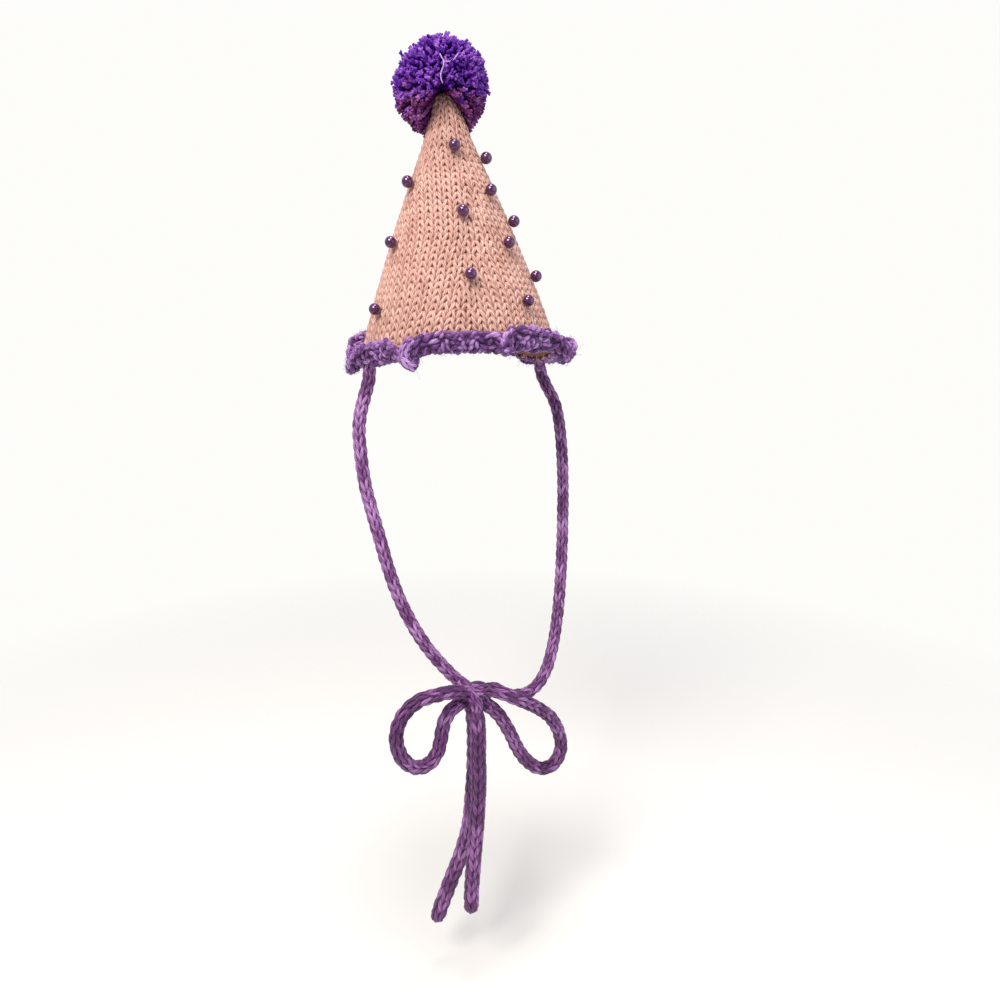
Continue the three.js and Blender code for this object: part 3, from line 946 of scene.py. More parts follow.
@dataclass
class Frill:
    """The gathered band: bumps of yarn all over its skin, a chained fold, and a solid heart."""

    form: FrillForm
    bumps: int = 132
    yarn_radius: float = 1.15 * MM
    bump_length: float = 3.5 * MM
    bump_drop: float = 1.6 * MM
    row_spacing: float = 2.3 * MM
    tuck: float = 1.7 * MM
    samples: int = 7
    sides: int = 6
    chain_span: tuple[float, float] = (-62.0, -43.0)
    chain_radius: float = 2.7 * MM
    chain_stitch: float = 4.0 * MM
    chain_inset: float = 1.2 * MM
    fibres: int = 1800
    fibre_length: float = 2.8 * MM
    fibre_depth: float = 1.0 * MM
    heart_depth: float = 1.25 * MM
    heart_inset: float = 1.5 * MM

    def skin_length(self) -> float:
        """Distance along the skin, from the lower root round the edge to the upper root."""
        return 2 * self.form.width + (math.pi - 2) * self.form.thickness / 2

    def skin(self, walk: np.ndarray, depth: np.ndarray) -> tuple[np.ndarray, np.ndarray]:
        """Places on the skin of the band's section.

        Args:
            walk: distances along the skin, from its lower root round its edge.
            depth: heights above the skin.

        Returns:
            The distances along the band and the heights in its thickness.
        """
        half = self.form.thickness / 2
        straight = self.form.width - half
        turn = np.clip((walk - straight) / half, 0, math.pi) - math.pi / 2
        back = np.clip(walk - straight - math.pi * half, 0, None)
        along = np.minimum(walk, straight) - back
        return along + (half + depth) * np.cos(turn), (half + depth) * np.sin(turn)

    def lift_off(
        self, azimuth: np.ndarray, walk: np.ndarray, depth: np.ndarray
    ) -> tuple[np.ndarray, np.ndarray]:
        """Points over the skin, and the directions that stand up from it there."""
        points = self.form.place(azimuth, *self.skin(walk, depth))
        above = self.form.place(azimuth, *self.skin(walk, depth + MM))
        return points, unit(above - points)

    def bump_row(self, walk: float, stagger: float, rng: np.random.Generator, mesh: YarnMesh) -> None:
        """Lays one row of bumps, each a short arch of yarn that springs from the heart.

        Args:
            walk: where the row lies along the skin.
            stagger: how far the row is shifted, in bumps.
            rng: source of the small differences between bumps.
            mesh: the mesh that takes the yarn.
        """
        spread = (self.bumps, 1)
        step = np.linspace(-1, 1, self.samples)[None, :]
        tilt = rng.normal(0, 1.0, spread)
        middle = (np.arange(self.bumps)[:, None] + stagger + rng.normal(0, 0.13, spread)) / self.bumps
        reach = step * self.bump_length / 2
        azimuth = middle * TURN + reach * np.cos(tilt) / (self.form.rim_radius + self.form.thickness)
        at = walk + rng.normal(0, 0.3 * MM, spread) + reach * np.sin(tilt)
        crest = rng.normal(0.1 * MM, 0.3 * MM, spread) - self.yarn_radius
        depth = crest - self.bump_drop * step**2
        points, normals = self.lift_off(azimuth, at, depth)
        # shade: a random tone for each bump, darker towards its ends as painted shade, where the yarn
        # dives towards the heart.
        shade = rng.uniform(0.2, 1.0, spread) - 0.7 * step**2
        thick = self.yarn_radius * (1 + rng.normal(0, 0.08, spread)) * np.ones_like(step)
        mesh.add_yarn(points, normals, thick, self.sides, shade)

    def knit(self, wardrobe: Wardrobe) -> None:
        """Builds the bumps of both faces and the chain along the fold at the wearer's right."""
        rng = np.random.default_rng(23)
        faces = YarnMesh("frill_knit")
        rows = round((self.skin_length() + self.tuck) / self.row_spacing)
        walks = np.linspace(-self.tuck, self.skin_length() - self.row_spacing / 2, rows)
        for row, walk in enumerate(walks):
            self.bump_row(walk, 0.5 * (row % 2), rng, faces)
        wardrobe.dress(faces.build(), FRILL_YARN, Slot.PURPLE, "frill")
        span = np.radians(np.linspace(*self.chain_span, 50))
        edge = self.form.place(span, self.form.width - self.chain_inset, 0.0)
        chain = KnitCord(self.chain_radius, columns=3, stitch_length=self.chain_stitch, seed=29)
        piece = YarnMesh("frill_edge")
        chain.lay(piece, edge, TOWARD_VIEWER, round_start=True, round_end=True)
        wardrobe.dress(piece.build(), FRILL_YARN, Slot.PURPLE, "frill")

    def fuzz(self, wardrobe: Wardrobe) -> None:
        """Grows stray fibres all over the band."""
        rng = np.random.default_rng(37)
        azimuth = rng.uniform(0, TURN, self.fibres)
        walk = rng.uniform(0, self.skin_length(), self.fibres)
        roots, ways = self.lift_off(azimuth, walk, np.full(self.fibres, -self.fibre_depth))
        mesh = YarnMesh("frill_fuzz")
        mesh.add_fibres(roots, ways, self.fibre_length, rng)
        wardrobe.dress(mesh.build(), FRILL_YARN, Slot.PURPLE, "frill")

    def heart(self, wardrobe: Wardrobe) -> None:
        """Builds the solid middle of the band, seen only between the bumps; its near-black purple is
        painted shade between the bumps.
        """
        half = self.form.thickness / 2 - self.heart_depth
        edge = self.form.width - self.heart_inset
        section = [(edge * share, -half) for share in (0, 0.25, 0.5, 1)]
        section += [(edge * share, half) for share in (1, 0.5, 0.25, 0)]
        azimuth = np.linspace(0, TURN, 420, endpoint=False)
        rings = np.stack([self.form.place(azimuth, a, t) for a, t in section], axis=1)
        band = YarnMesh("frill_heart")
        band.add_rings(rings[None, :, ::-1], 0.5, closed=True)
        wardrobe.dress(band.build(), PURPLE_CORE_SHADE, Slot.PURPLE, "frill")


# Cords


@dataclass
class KnitCord:
    """A knitted cord: stitches in a few columns round a soft heart."""

    radius: float
    columns: int = 4
    stitch_length: float = 5.5 * MM
    samples: int = 16
    sides: int = 6
    seed: int = 1
    loop_swell: float = 0.215
    heads: int = 1
    # tone: added to the shade of every stitch; the ties use it for their own tone and for painted
    # shade.
    tone: float = 0.0

    def yarn_radius(self) -> float:
        """Radius of the yarn, from the room that each leg of a loop has."""
        return self.radius / (1 + 2 * self.columns * 1.2 / math.pi)

    def stitches(self, length: float) -> tuple[np.ndarray, ...]:
        """Where the yarn runs in a cord of a given length.

        Returns:
            The distance along, the turn about the cord and the height from its axis of each
            sample, and its shade.
        """
        rng = np.random.default_rng(self.seed)
        count = max(self.columns, self.columns * round(length / self.stitch_length))
        pace = length / count * self.columns
        turn = np.linspace(-math.pi, math.pi, self.samples, endpoint=False)
        index = np.arange(count)[:, None]
        swell = self.loop_swell * (1 + rng.normal(0, 0.06, (count, 1)))
        about = (index + turn / TURN + swell * np.sin(2 * turn)) * TURN / self.columns
        head = (1 + np.cos(turn)) / 2
        tall = pace * 0.8 * (1 + rng.normal(0, 0.05, (count, 1)) * head)
        along = (index + 0.5 + turn / TURN) * pace / self.columns
        along = along + self.heads * tall * np.cos(turn)
        yarn = self.yarn_radius()
        swing = 0.55 * yarn
        middle = self.radius - yarn - swing
        out = middle - swing * np.cos(2 * turn) * (1 + rng.normal(0, 0.1, (count, 1)))
        # shade: a random tone for each stitch, less painted shade at the heads and feet of the loops,
        # where they dip towards the heart, plus the cord's tone.
        shade = rng.uniform(0.15, 0.85, (count, 1)) - 0.35 * np.cos(2 * turn) + self.tone
        return along, about, out, shade

    def lay(
        self,
        mesh: YarnMesh,
        route: np.ndarray,
        toward: np.ndarray,
        round_start: bool = False,
        round_end: bool = False,
    ) -> None:
        """Knits the cord along an open route, with its heart.

        Args:
            mesh: the mesh that takes the yarn.
            route: evenly spaced samples of the centreline.
            toward: the direction that the first column faces.
            round_start: whether the start is a rounded free end.
            round_end: whether the end is one.
        """
        walked = running_length(route)
        length = walked[-1]
        along, about, out, shade = self.stitches(length)
        tangent = unit(np.gradient(route, axis=0))
        normals = carried_normals(route, toward)
        yarn = self.yarn_radius()
        keep = np.clip(along, 0, length)
        taper = np.ones_like(keep)
        for asked, distance in ((round_start, keep), (round_end, length - keep)):
            if asked:
                share = np.clip(distance / (self.radius * 1.1), 0.03, 1)
                taper = taper * np.sqrt(1 - (1 - share) ** 2)
        inner = np.clip(keep, yarn * 0.9, length - yarn * 0.9)
        first = unit(read_along(inner, walked, normals))
        run = unit(read_along(inner, walked, tangent))
        way = turned(first, np.cross(run, first), about)
        line = read_along(inner, walked, route) + way * (out * taper)[..., None]
        lines, ways = line.reshape(1, -1, 3), way.reshape(1, -1, 3)
        mesh.add_yarn(lines, ways, yarn, self.sides, shade.reshape(1, -1))
        # The heart's shade of -0.8 brings it near the deep colour: painted shade between the stitches.
        turns = TURN * np.arange(10) / 10
        heart = self.radius - 1.35 * yarn
        thick = np.full(len(route), heart)
        for asked, distance in ((round_start, walked), (round_end, length - walked)):
            if asked:
                thick = thick * np.sqrt(1 - (1 - np.clip(distance / self.radius, 0.05, 1)) ** 2)
        ring = turned(normals[:, None], np.cross(tangent, normals)[:, None], turns)
        mesh.add_rings((route[:, None] + thick[:, None, None] * ring)[None], -0.8)


@dataclass
class Ties:
    """The two cords from the rim, and the bow that they are tied in under the chin."""

    strap_diameter: float = 6.8 * MM
    loop_diameter: float = 7.6 * MM
    tail_diameter: float = 9.0 * MM
    proud: float = 0.15 * MM
    spacing: float = 1.2 * MM
    stitch_share: float = 0.78
    # Darker tone of the loops, the tails and their ends in the knot: painted shade under the chin.
    painted_chin_shade: float = -0.34
    knot_centre: tuple[float, float, float] = (-0.018, -0.044, -0.179)
    knot_radii: tuple[float, float, float] = (0.0095, 0.0075, 0.0072)
    heart_depth: float = 1.2 * MM
    routes: dict[str, list[tuple[float, float, float]]] = field(
        default_factory=lambda: {
            "tie_strap_right": [
                (-0.0532, -0.0004, -0.0103), (-0.054, -0.0008, -0.0155), (-0.0574, -0.0024, -0.0236),
                (-0.0607, -0.0046, -0.031), (-0.0626, -0.0064, -0.0393), (-0.0632, -0.0084, -0.0486),
                (-0.0632, -0.0102, -0.0579), (-0.0626, -0.012, -0.068), (-0.0612, -0.014, -0.0776),
                (-0.0596, -0.0162, -0.0873), (-0.0579, -0.0183, -0.097), (-0.0562, -0.0196, -0.1061),
                (-0.0534, -0.0214, -0.1179), (-0.0498, -0.0237, -0.1299), (-0.0452, -0.0264, -0.1415),
                (-0.0396, -0.0293, -0.1526), (-0.033, -0.0324, -0.1628), (-0.027, -0.0373, -0.1708),
                (-0.0238, -0.0403, -0.1743),
            ],
            "tie_strap_left": [
                (-0.0081, -0.0444, -0.1803), (-0.002, -0.0464, -0.1834), (0.007, -0.0486, -0.1854),
                (0.017, -0.048, -0.1846), (0.028, -0.044, -0.1786), (0.038, -0.0374, -0.167),
                (0.0464, -0.0304, -0.152), (0.0526, -0.0244, -0.134), (0.057, -0.0196, -0.115),
                (0.0602, -0.0156, -0.095), (0.0624, -0.012, -0.074), (0.0632, -0.0088, -0.055),
                (0.0626, -0.0062, -0.04), (0.0604, -0.004, -0.03), (0.057, -0.0022, -0.023),
                (0.054, -0.0008, -0.0158), (0.0532, -0.0004, -0.0105),
            ],
            "bow_loop_right": [
                (-0.0272, -0.0466, -0.1752), (-0.035, -0.0486, -0.172), (-0.0444, -0.0489, -0.171),
                (-0.0544, -0.0481, -0.1718), (-0.0624, -0.0476, -0.1771), (-0.0662, -0.0472, -0.1854),
                (-0.0656, -0.0467, -0.1954), (-0.0615, -0.0462, -0.2043), (-0.0554, -0.0458, -0.2098),
                (-0.048, -0.0453, -0.2106), (-0.0424, -0.0448, -0.206), (-0.0396, -0.0443, -0.1978),
                (-0.0372, -0.0436, -0.1902), (-0.0328, -0.0431, -0.1852), (-0.0266, -0.0426, -0.1828),
            ],
            "bow_loop_left": [
                (-0.0134, -0.0472, -0.1857), (-0.0076, -0.0488, -0.192), (-0.0004, -0.0493, -0.2046),
                (0.0052, -0.05, -0.2171), (0.0124, -0.0507, -0.2276), (0.0206, -0.0513, -0.2338),
                (0.0289, -0.052, -0.233), (0.0331, -0.0527, -0.225), (0.0314, -0.0534, -0.2147),
                (0.0247, -0.0544, -0.2024), (0.015, -0.0562, -0.1928), (0.0054, -0.0572, -0.1856),
                (-0.0044, -0.057, -0.1794), (-0.0098, -0.0546, -0.1762), (-0.0126, -0.0522, -0.1749),
            ],
            "tie_tail_right": [
                (-0.0212, -0.0486, -0.186), (-0.0207, -0.0492, -0.191), (-0.02, -0.0492, -0.199),
                (-0.02, -0.049, -0.2134), (-0.0198, -0.0492, -0.224), (-0.02, -0.049, -0.236),
                (-0.0206, -0.0486, -0.249), (-0.0214, -0.0481, -0.263), (-0.0224, -0.0475, -0.277),
                (-0.0232, -0.047, -0.29), (-0.0237, -0.0467, -0.302), (-0.0238, -0.0466, -0.3115),
            ],
            "tie_tail_left": [
                (-0.0182, -0.0394, -0.1862), (-0.017, -0.0387, -0.192), (-0.0162, -0.0388, -0.2038),
                (-0.0163, -0.0386, -0.2221), (-0.0174, -0.038, -0.2439), (-0.019, -0.0372, -0.262),
                (-0.0212, -0.036, -0.2736), (-0.0239, -0.0344, -0.2845), (-0.0271, -0.0323, -0.295),
                (-0.0302, -0.0303, -0.3058), (-0.0333, -0.0283, -0.3166), (-0.036, -0.0266, -0.3265),
            ],
        }
    )
    knot_wraps: tuple[tuple[tuple[float, float, float], ...], ...] = (
        (
            (-0.0255, -0.0393, -0.1728), (-0.0236, -0.0448, -0.1752), (-0.0222, -0.0496, -0.1792),
            (-0.0213, -0.0502, -0.1836), (-0.0212, -0.0488, -0.188),
        ),
        (
            (-0.0095, -0.0446, -0.1808), (-0.0132, -0.0478, -0.1784), (-0.0178, -0.0482, -0.1762),
            (-0.0232, -0.0456, -0.1758), (-0.0262, -0.0418, -0.1786), (-0.0232, -0.0386, -0.182),
            (-0.0186, -0.0388, -0.1862),
        ),
    )
    tucks: tuple[tuple[str, int, tuple[float, float, float]], ...] = (
        ("tie_strap_right", -1, (-0.0195, -0.0438, -0.1785)),
        ("tie_strap_left", 1, (-0.0155, -0.0438, -0.1788)),
        ("bow_loop_right", 1, (-0.0205, -0.0455, -0.178)),
        ("bow_loop_right", -1, (-0.0205, -0.0432, -0.1805)),
        ("bow_loop_left", 1, (-0.0168, -0.0455, -0.1812)),
        ("bow_loop_left", -1, (-0.0165, -0.0475, -0.1775)),
        ("tie_tail_right", 1, (-0.0198, -0.046, -0.181)),
        ("tie_tail_left", 1, (-0.0182, -0.0425, -0.1808)),
    )
    # Tones of the straps; the left strap is darker than the right as painted shade under the jaw.
    tones_and_painted_shade: dict[str, float] = field(
        default_factory=lambda: {"tie_strap_right": -0.08, "tie_strap_left": -0.16}
    )
    anchors: tuple[tuple[str, int, tuple[float, float, float]], ...] = (
        ("tie_strap_right", 1, (-0.0528, 0.0, -0.0035)),
        ("tie_strap_left", -1, (0.0528, 0.0, -0.0035)),
    )

    def diameter(self, name: str) -> float:
        """Diameter of a cord of the ties."""
        if "strap" in name:
            return self.strap_diameter
        return self.loop_diameter if "loop" in name else self.tail_diameter

    def knitted(self, name: str, seed: int) -> KnitCord:
        """The knit of a cord, whose stitches point down where it hangs."""
        diameter = self.diameter(name)
        return KnitCord(
            radius=diameter / 2 + self.proud,
            seed=seed,
            stitch_length=self.stitch_share * diameter,
            heads=1 if name == "tie_strap_left" else -1,
            tone=self.tones_and_painted_shade.get(name, self.painted_chin_shade),
        )

    def cord(self, name: str, seed: int) -> tuple[bpy.types.Object, np.ndarray]:
        """Knits one cord of the ties.

        Args:
            name: its name in the frame.
            seed: number that sets the differences between its stitches.

        Returns:
            The piece and its centreline.
        """
        route = smooth_route(self.routes[name], self.spacing)
        mesh = YarnMesh(name + "_knit")
        self.knitted(name, seed).lay(mesh, route, TOWARD_VIEWER, round_end="tail" in name)
        return mesh.build(), route

    def tie(self, wardrobe: Wardrobe) -> None:
        """Builds the cords and the knot."""
        knot = self.knot(wardrobe)
        cords = (
            ("tie_strap_right", 1, "knot", [knot]),
            ("tie_strap_left", -1, "knot", []),
            ("bow_loop_right", 1, "object", []),
            ("bow_loop_left", 1, "object", []),
            ("tie_tail_right", 1, "bare", []),
            ("tie_tail_left", 1, "bare", []),
        )
        for seed, (name, way, far_end, others) in enumerate(cords, 40):
            piece, route = self.cord(name, seed)
            wardrobe.dress(piece, PURPLE_YARN, Slot.PURPLE, name)
            self.diameter(name)

    def tuck_in(self, mesh: YarnMesh, tucks: tuple[tuple[str, int, tuple], ...]) -> None:
        """Carries ends of cords on into the piece that holds them.

        Args:
            mesh: the mesh that takes the yarn.
            tucks: for each end its cord, 1 for its start or -1 for its end, and where it goes.
        """
        for seed, (name, end, target) in enumerate(tucks, 70):
            route = smooth_route(self.routes[name], self.spacing)[::end]
            path = [tuple(route[3]), tuple(route[0]), target]
            self.knitted(name, seed).lay(mesh, smooth_route(path, self.spacing), TOWARD_VIEWER)

    def anchor(self, wardrobe: Wardrobe) -> None:
        """Builds the ends of the straps inside the frill, where they are knitted on."""
        mesh = YarnMesh("frill_strap_ends")
        self.tuck_in(mesh, self.anchors)
        wardrobe.dress(mesh.build(), PURPLE_YARN, Slot.PURPLE, "frill")

    def knot(self, wardrobe: Wardrobe) -> bpy.types.Object:
        """Builds the knot: cord wrapped over itself round a small heart."""
        mesh = YarnMesh("bow_knot_wraps")
        for seed, wrap in enumerate(self.knot_wraps, 60):
            knit = self.knitted("tie_strap_right", seed)
            knit.lay(mesh, smooth_route(list(wrap), self.spacing), TOWARD_VIEWER)
        self.tuck_in(mesh, self.tucks)
        radii = np.array(self.knot_radii) - self.heart_depth
        heart = ball_rings(14, 20) * radii + np.array(self.knot_centre)
        # The heart's shade of 0 makes it dark: painted shade between the wraps.
        mesh.add_rings(heart[None], 0.0)
        return wardrobe.dress(mesh.build(), PURPLE_YARN, Slot.PURPLE, "bow_knot")


# Pompom


@dataclass
class Pompom:
    """A ball of cut yarn ends, parted in front over the tip of the crown."""

    form: CrownForm
    offset: tuple[float, float, float] = (-0.0005, 0.0042, 0.0056)
    radius: float = 23.6 * MM
    ends: int = 900
    root: float = 9 * MM
    strand_radius: float = 0.92 * MM
    flatness: float = 0.97
    lean: float = 0.1
    strands: int = 3
    samples: int = 7
    sides: int = 4
    unevenness: float = 0.035
    bow: float = 1.3 * MM
    twist_length: float = 7 * MM
    gather: float = 0.55 * MM
    splay: float = 0.8 * MM
    cut_share: float = 0.55
    bounce_plum_from: float = 0.3
    parting_height: float = 5 * MM
    parting_slope: float = 0.9
    parting_room: float = 3.5 * MM
    parting_back: float = 2 * MM
    parting_lip: float = 4 * MM
    crown_gap: float = 0.5 * MM
    heart_radius: float = 12 * MM
    heart_back: float = 6 * MM
    heart_rise: float = 4 * MM
    thread_proud: float = 0.5 * MM
    thread_radius: float = 0.3 * MM
    threads: tuple[tuple[tuple[float, float, float], ...], ...] = (
        (
            (-0.0171, -0.014, 0.1381), (-0.0166, -0.0149, 0.1362), (-0.0159, -0.0157, 0.1344),
            (-0.0166, -0.0158, 0.1313), (-0.0175, -0.0154, 0.1287), (-0.0175, -0.0153, 0.1265),
            (-0.0165, -0.0153, 0.1241),
        ),
        (
            (-0.0159, -0.0157, 0.1344), (-0.0142, -0.0165, 0.1343), (-0.0114, -0.0173, 0.1352),
            (-0.0096, -0.0171, 0.1372), (-0.0077, -0.0166, 0.1394),
        ),
    )

    def centre(self) -> np.ndarray:
        """Centre of the ball."""
        tip = self.form.axis(np.array(self.form.height)) + UP * self.form.height
        return tip + np.array(self.offset)

    def part(self, tips: np.ndarray) -> tuple[np.ndarray, np.ndarray]:
        """Pushes ends aside from the crown and drops those in front of its tip.

        Args:
            tips: where the ends reach to.

        Returns:
            The places of the tips, and which of them stay.
        """
        height = tips[:, 2]
        middle = self.form.axis(np.clip(height, 0, self.form.height))
        middle[:, 2] = height
        away = tips - middle
        distance = np.linalg.norm(away, axis=1)
        crown = np.interp(height, self.form.heights, self.form.radii, right=0.0)
        side = np.cross(TOWARD_VIEWER, UP)
        forward = away @ TOWARD_VIEWER
        sideways = away @ side
        below = self.form.height + self.parting_height - height
        widest = crown + self.parting_room
        opening = np.where(below > 0, np.minimum(below * self.parting_slope, widest), 0)
        blocked = (forward > -self.parting_back) & (np.abs(sideways) < opening)
        near = blocked & (np.abs(sideways) > opening - self.parting_lip)
        pushed = tips + side * (np.sign(sideways) * (opening - np.abs(sideways)))[:, None]
        tips = np.where(near[:, None], pushed, tips)
        stay = ~blocked | near
        return tips, stay & (distance > crown + self.crown_gap)

    def tips(self, rng: np.random.Generator) -> tuple[np.ndarray, np.ndarray]:
        """Where the ends reach to once they are parted, and the directions that they grow in."""
        ways = unit(spread_directions(self.ends) + rng.normal(0, self.unevenness, (self.ends, 3)))
        reach = self.radius * (1 + rng.normal(0, self.unevenness, self.ends))
        shape = np.where(ways[:, 2:] > 0, [[1, 1, self.flatness]], 1.0)
        side = np.cross(TOWARD_VIEWER, UP)
        above = np.clip(ways[:, 2:], 0, None) * self.radius
        tips = self.centre() + ways * shape * reach[:, None] - side * self.lean * above
        tips, stay = self.part(tips)
        return tips[stay], ways[stay]

    def fluff(self, wardrobe: Wardrobe) -> None:
        """Builds the cut ends: each a few thin strands that wind round each other and splay."""
        rng = np.random.default_rng(71)
        centre = self.centre()
        tips, ways = self.tips(rng)
        count = len(tips)
        roots = centre + ways * self.root
        share = np.linspace(0, 1, self.samples)
        aside = unit(np.cross(ways, rng.normal(0, 1, (count, 3))))
        beside = np.cross(ways, aside)
        bend = (np.sin(math.pi * share) * share)[None, :, None]
        bow = rng.normal(0, self.bow, (count, 1, 1)) * bend
        spine = roots[:, None] + (tips - roots)[:, None] * share[None, :, None]
        spine = spine + bow * aside[:, None]
        shade = np.clip(rng.normal(0.5, 0.28, count), 0, 1)
        # Painted warm bounce light: ends low on the ball, with some randomness, take the plum copy of
        # the violet yarn.
        low = (centre[2] - tips[:, 2]) / self.radius + rng.normal(0, 0.16, count) > self.bounce_plum_from
        violet, plum = YarnMesh("pompom_ends"), YarnMesh("pompom_ends_low")
        length = np.linalg.norm(tips - roots, axis=1)
        thick = self.strand_radius * np.append(np.ones(self.samples - 1), self.cut_share)[None]
        for strand in range(self.strands):
            turn = TURN * strand / self.strands + rng.uniform(0, TURN, count)
            twist = turn[:, None] + length[:, None] * share[None] * TURN / self.twist_length
            splay = self.gather + self.splay * share[None] ** 3 * rng.uniform(0.2, 1.2, (count, 1))
            line = spine + splay[..., None] * turned(aside[:, None], beside[:, None], twist)
            # Ends pale towards their tips: painted shade darkens them towards their roots inside the
            # ball, over a random tone for each end.
            shades = (shade + rng.normal(0, 0.08, count))[:, None] * 0.6 + 0.4 * share[None] ** 2
            across = np.broadcast_to(aside[:, None], line.shape)
            for mesh, some in ((violet, ~low), (plum, low)):
                mesh.add_yarn(line[some], across[some], thick, self.sides, shades[some])
        wardrobe.dress(violet.build(), VIOLET_YARN, Slot.VIOLET, "pompom")
        wardrobe.dress(plum.build(), PLUM_BOUNCE_YARN, Slot.VIOLET, "pompom")

    def thread(self, wardrobe: Wardrobe) -> None:
        """Lays the pale sewing thread that runs over the front of the ball."""
        centre = self.centre()
        mesh = YarnMesh("pompom_thread")
        for points in self.threads:
            route = smooth_route(list(points), MM)
            ways = unit(route - centre)
            line = centre + ways * (self.radius + self.thread_proud)
            mesh.add_yarn(line[None], ways[None], self.thread_radius, 8)
        wardrobe.dress(mesh.build(), THREAD, Slot.VIOLET, "pompom")

    def heart(self, wardrobe: Wardrobe) -> None:
        """Builds the dark heart that the ends spring from; its dark violet is painted shade among the
        roots of the ends.
        """
        place = self.centre() - TOWARD_VIEWER * self.heart_back + UP * self.heart_rise
        mesh = YarnMesh("pompom_heart")
        mesh.add_rings((place + ball_rings(22, 32) * self.heart_radius)[None], 0.3)
        wardrobe.dress(mesh.build(), VIOLET_CORE_SHADE, Slot.VIOLET, "pompom")


# Beads


@dataclass
class Beads:
    """The drilled pearl beads sewn on the crown."""

    radius: float = 3.0 * MM
    rim_inset: float = 0.135 * MM
    drill_depth: float = 1.5 * MM
    pole_share: float = 0.975
    tilt: float = 0.35
    count: int = 24

    def model(self) -> bpy.types.Object:
        """Models one bead at the origin, drilled from side to side along X."""
        bpy.ops.object.select_all(action="DESELECT")
        bpy.ops.mesh.primitive_uv_sphere_add(
            segments=28, ring_count=18, radius=self.radius, location=(0, 0, 0)
        )
        bead = bpy.context.object
        for end in (1, -1):
            bpy.ops.object.mode_set(mode="EDIT")
            bpy.ops.mesh.select_mode(type="FACE")
            bpy.ops.mesh.select_all(action="DESELECT")
            bpy.ops.object.mode_set(mode="OBJECT")
            for face in bead.data.polygons:
                face.select = face.center.z * end > self.radius * self.pole_share
            bpy.ops.object.mode_set(mode="EDIT")
            bpy.ops.mesh.dissolve_faces()
            bpy.ops.mesh.inset(thickness=self.rim_inset)
            bpy.ops.mesh.extrude_region_move(
                TRANSFORM_OT_translate={"value": (0, 0, -end * self.drill_depth)}
            )
            bpy.ops.object.mode_set(mode="OBJECT")
        bead.data.transform(Matrix.Rotation(math.pi / 2, 4, "Y"))
        bpy.ops.object.shade_smooth_by_angle(angle=math.radians(40))
        return bead

    def sew(self, form: CrownForm, wardrobe: Wardrobe) -> None:
        """Copies the bead to the place of each bead of the frame."""
        model = self.model()
        for number in range(1, self.count + 1):
            name = f"bead_{number:02d}"
            low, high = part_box(name)
            centre = (low + high) / 2
            axis = form.axis(np.array(centre.z))
            azimuth = math.atan2(centre.x - axis[0], -(centre.y - axis[1]))
            bead = model.copy()
            bead.data = model.data.copy()
            bead.name = name + "_pearl"
            bead.data.name = bead.name
            bpy.context.scene.collection.objects.link(bead)
            tilt = Matrix.Rotation(self.tilt * math.sin(number), 4, "Y")
            turn = Matrix.Rotation(azimuth, 4, "Z") @ tilt
            bead.data.transform(Matrix.Translation(centre) @ turn)
            wardrobe.dress(bead, PearlFinish(), Slot.PEARL, name)
        bpy.data.objects.remove(model)


# Stage


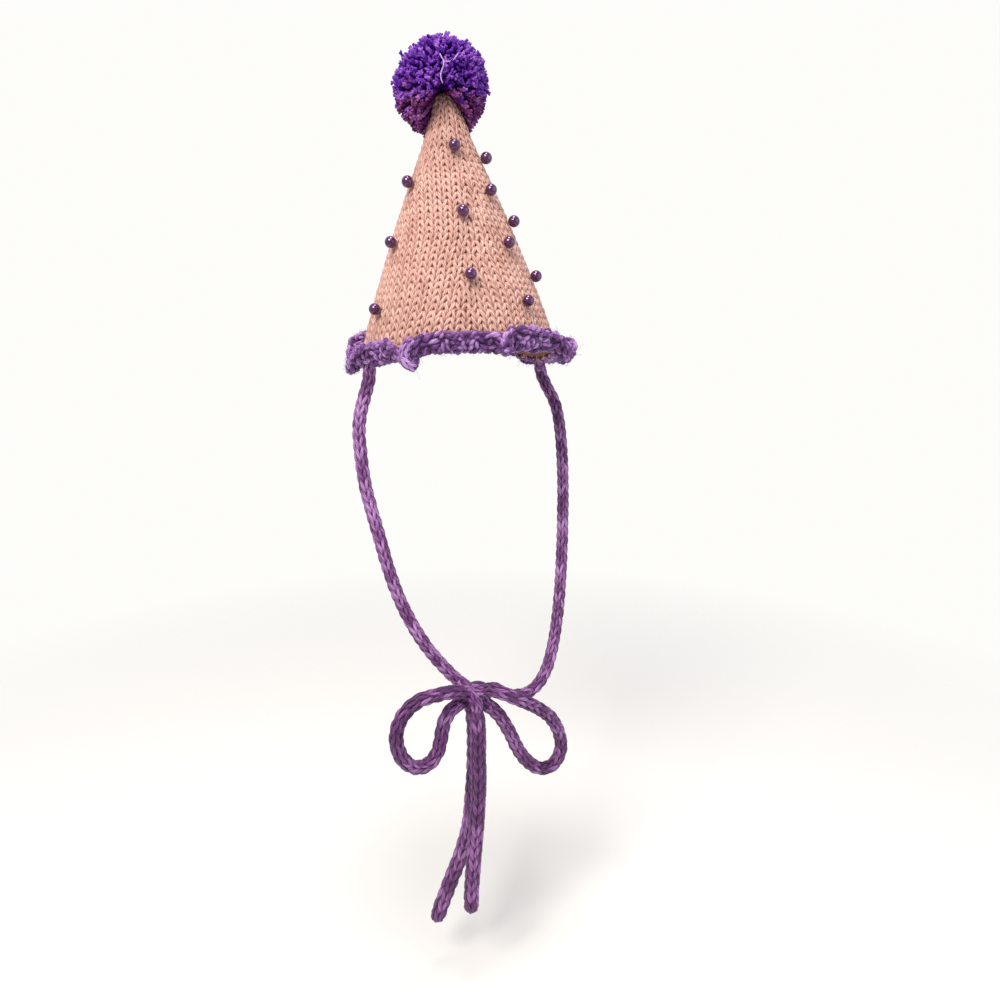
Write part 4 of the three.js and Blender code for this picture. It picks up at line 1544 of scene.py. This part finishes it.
@dataclass
class Studio:
    """Camera, lights and floor."""

    camera_place: tuple[float, float, float] = (-0.20846, -0.36073, 0.01170)
    pitch: float = 13.0
    focal_share: float = 0.755
    floor_height: float = -0.36
    floor_radius: float = 1.2
    surroundings: tuple[float, float, float] = (0.56, 0.55, 0.56)
    backdrop: tuple[float, float, float] = (0.985, 0.98, 0.955)

    def camera(self) -> None:
        """Stands the camera where the photograph was taken from."""
        data = bpy.data.cameras.new("camera")
        data.sensor_width = 36
        data.lens = self.focal_share * data.sensor_width
        data.clip_start = 0.01
        camera = bpy.data.objects.new("camera", data)
        bpy.context.scene.collection.objects.link(camera)
        down = math.radians(self.pitch)
        ahead = -TOWARD_VIEWER * math.cos(down) - UP * math.sin(down)
        camera.location = self.camera_place
        camera.rotation_euler = Vector(ahead).to_track_quat("-Z", "Y").to_euler()
        bpy.context.scene.camera = camera

    def floor(self) -> None:
        """Lays a pale floor that fades into the background."""
        bpy.ops.object.select_all(action="DESELECT")
        bpy.ops.mesh.primitive_circle_add(
            vertices=96,
            radius=self.floor_radius,
            fill_type="NGON",
            location=(0, 0, self.floor_height),
        )
        floor = bpy.context.object
        floor.name = "floor"
        mix = Recipe("pale_floor")
        spot = mix.node("ShaderNodeTexCoord", output="Object")
        reach = mix.node("ShaderNodeVectorMath", {"operation": "LENGTH"}, {0: spot}, output="Value")
        fade = (1.6 - reach * 2.2).held()
        mix.feed(Base_Color=(0.86, 0.85, 0.83, 1.0), Roughness=0.8, Alpha=fade)
        floor.data.materials.append(mix.material)

    def light(self, name: str, place: tuple, size: float, power: float, colour: tuple) -> None:
        """Adds a soft lamp that faces the middle of the rim.

        Args:
            name: its name.
            place: where it stands.
            size: the side of its square.
            power: its power in watts.
            colour: its colour.
        """
        data = bpy.data.lights.new(name, "AREA")
        data.size, data.energy, data.color = size, power, colour
        lamp = bpy.data.objects.new(name, data)
        lamp.location = place
        lamp.rotation_euler = (-Vector(place)).to_track_quat("-Z", "Y").to_euler()
        bpy.context.scene.collection.objects.link(lamp)

    def lights(self) -> None:
        """Lights the hat from above the camera's left, softly from the right, and all round."""
        self.light("key", (-0.75, -0.45, 0.75), 0.45, 13.0, (1.0, 0.95, 0.88))
        self.light("fill", (0.55, -0.8, 0.15), 0.9, 2.8, (0.86, 0.91, 1.0))
        self.light("top", (-0.05, -0.1, 1.0), 0.3, 5.0, (1.0, 0.98, 0.96))
        world = bpy.data.worlds.new("surroundings")
        bpy.context.scene.world = world
        world.use_nodes = True
        tree = world.node_tree
        shade = tree.nodes["Background"]
        rays = tree.nodes.new("ShaderNodeLightPath")
        choose = tree.nodes.new("ShaderNodeMix")
        choose.data_type = "RGBA"
        choose.inputs[6].default_value = (*self.surroundings, 1.0)
        choose.inputs[7].default_value = (*self.backdrop, 1.0)
        tree.links.new(rays.outputs["Is Camera Ray"], choose.inputs[0])
        tree.links.new(choose.outputs[2], shade.inputs["Color"])
        bpy.context.scene.view_settings.view_transform = "Standard"

    def build(self) -> None:
        """Sets the floor and the lights."""
        self.floor()
        self.lights()


def main() -> None:
    """Builds the camera and the cords, then the rest of the hat to the size of the crown part."""
    logging.basicConfig(level=logging.INFO, format="%(message)s")
    low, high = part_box("crown")
    wardrobe = Wardrobe()
    studio = Studio()
    studio.camera()
    ties = Ties()
    ties.tie(wardrobe)
    ties.anchor(wardrobe)
    form = CrownForm(rim_radius=high.x, height=high.z, droop=-low.z)
    crown = Crown(form)
    crown.back(wardrobe)
    crown.knit(wardrobe)
    frill = Frill(FrillForm(rim_radius=high.x, droop=-low.z))
    frill.heart(wardrobe)
    frill.knit(wardrobe)
    frill.fuzz(wardrobe)
    pompom = Pompom(form)
    pompom.heart(wardrobe)
    pompom.fluff(wardrobe)
    pompom.thread(wardrobe)
    Beads().sew(form, wardrobe)
    studio.build()


if __name__ == "__main__":
    main()
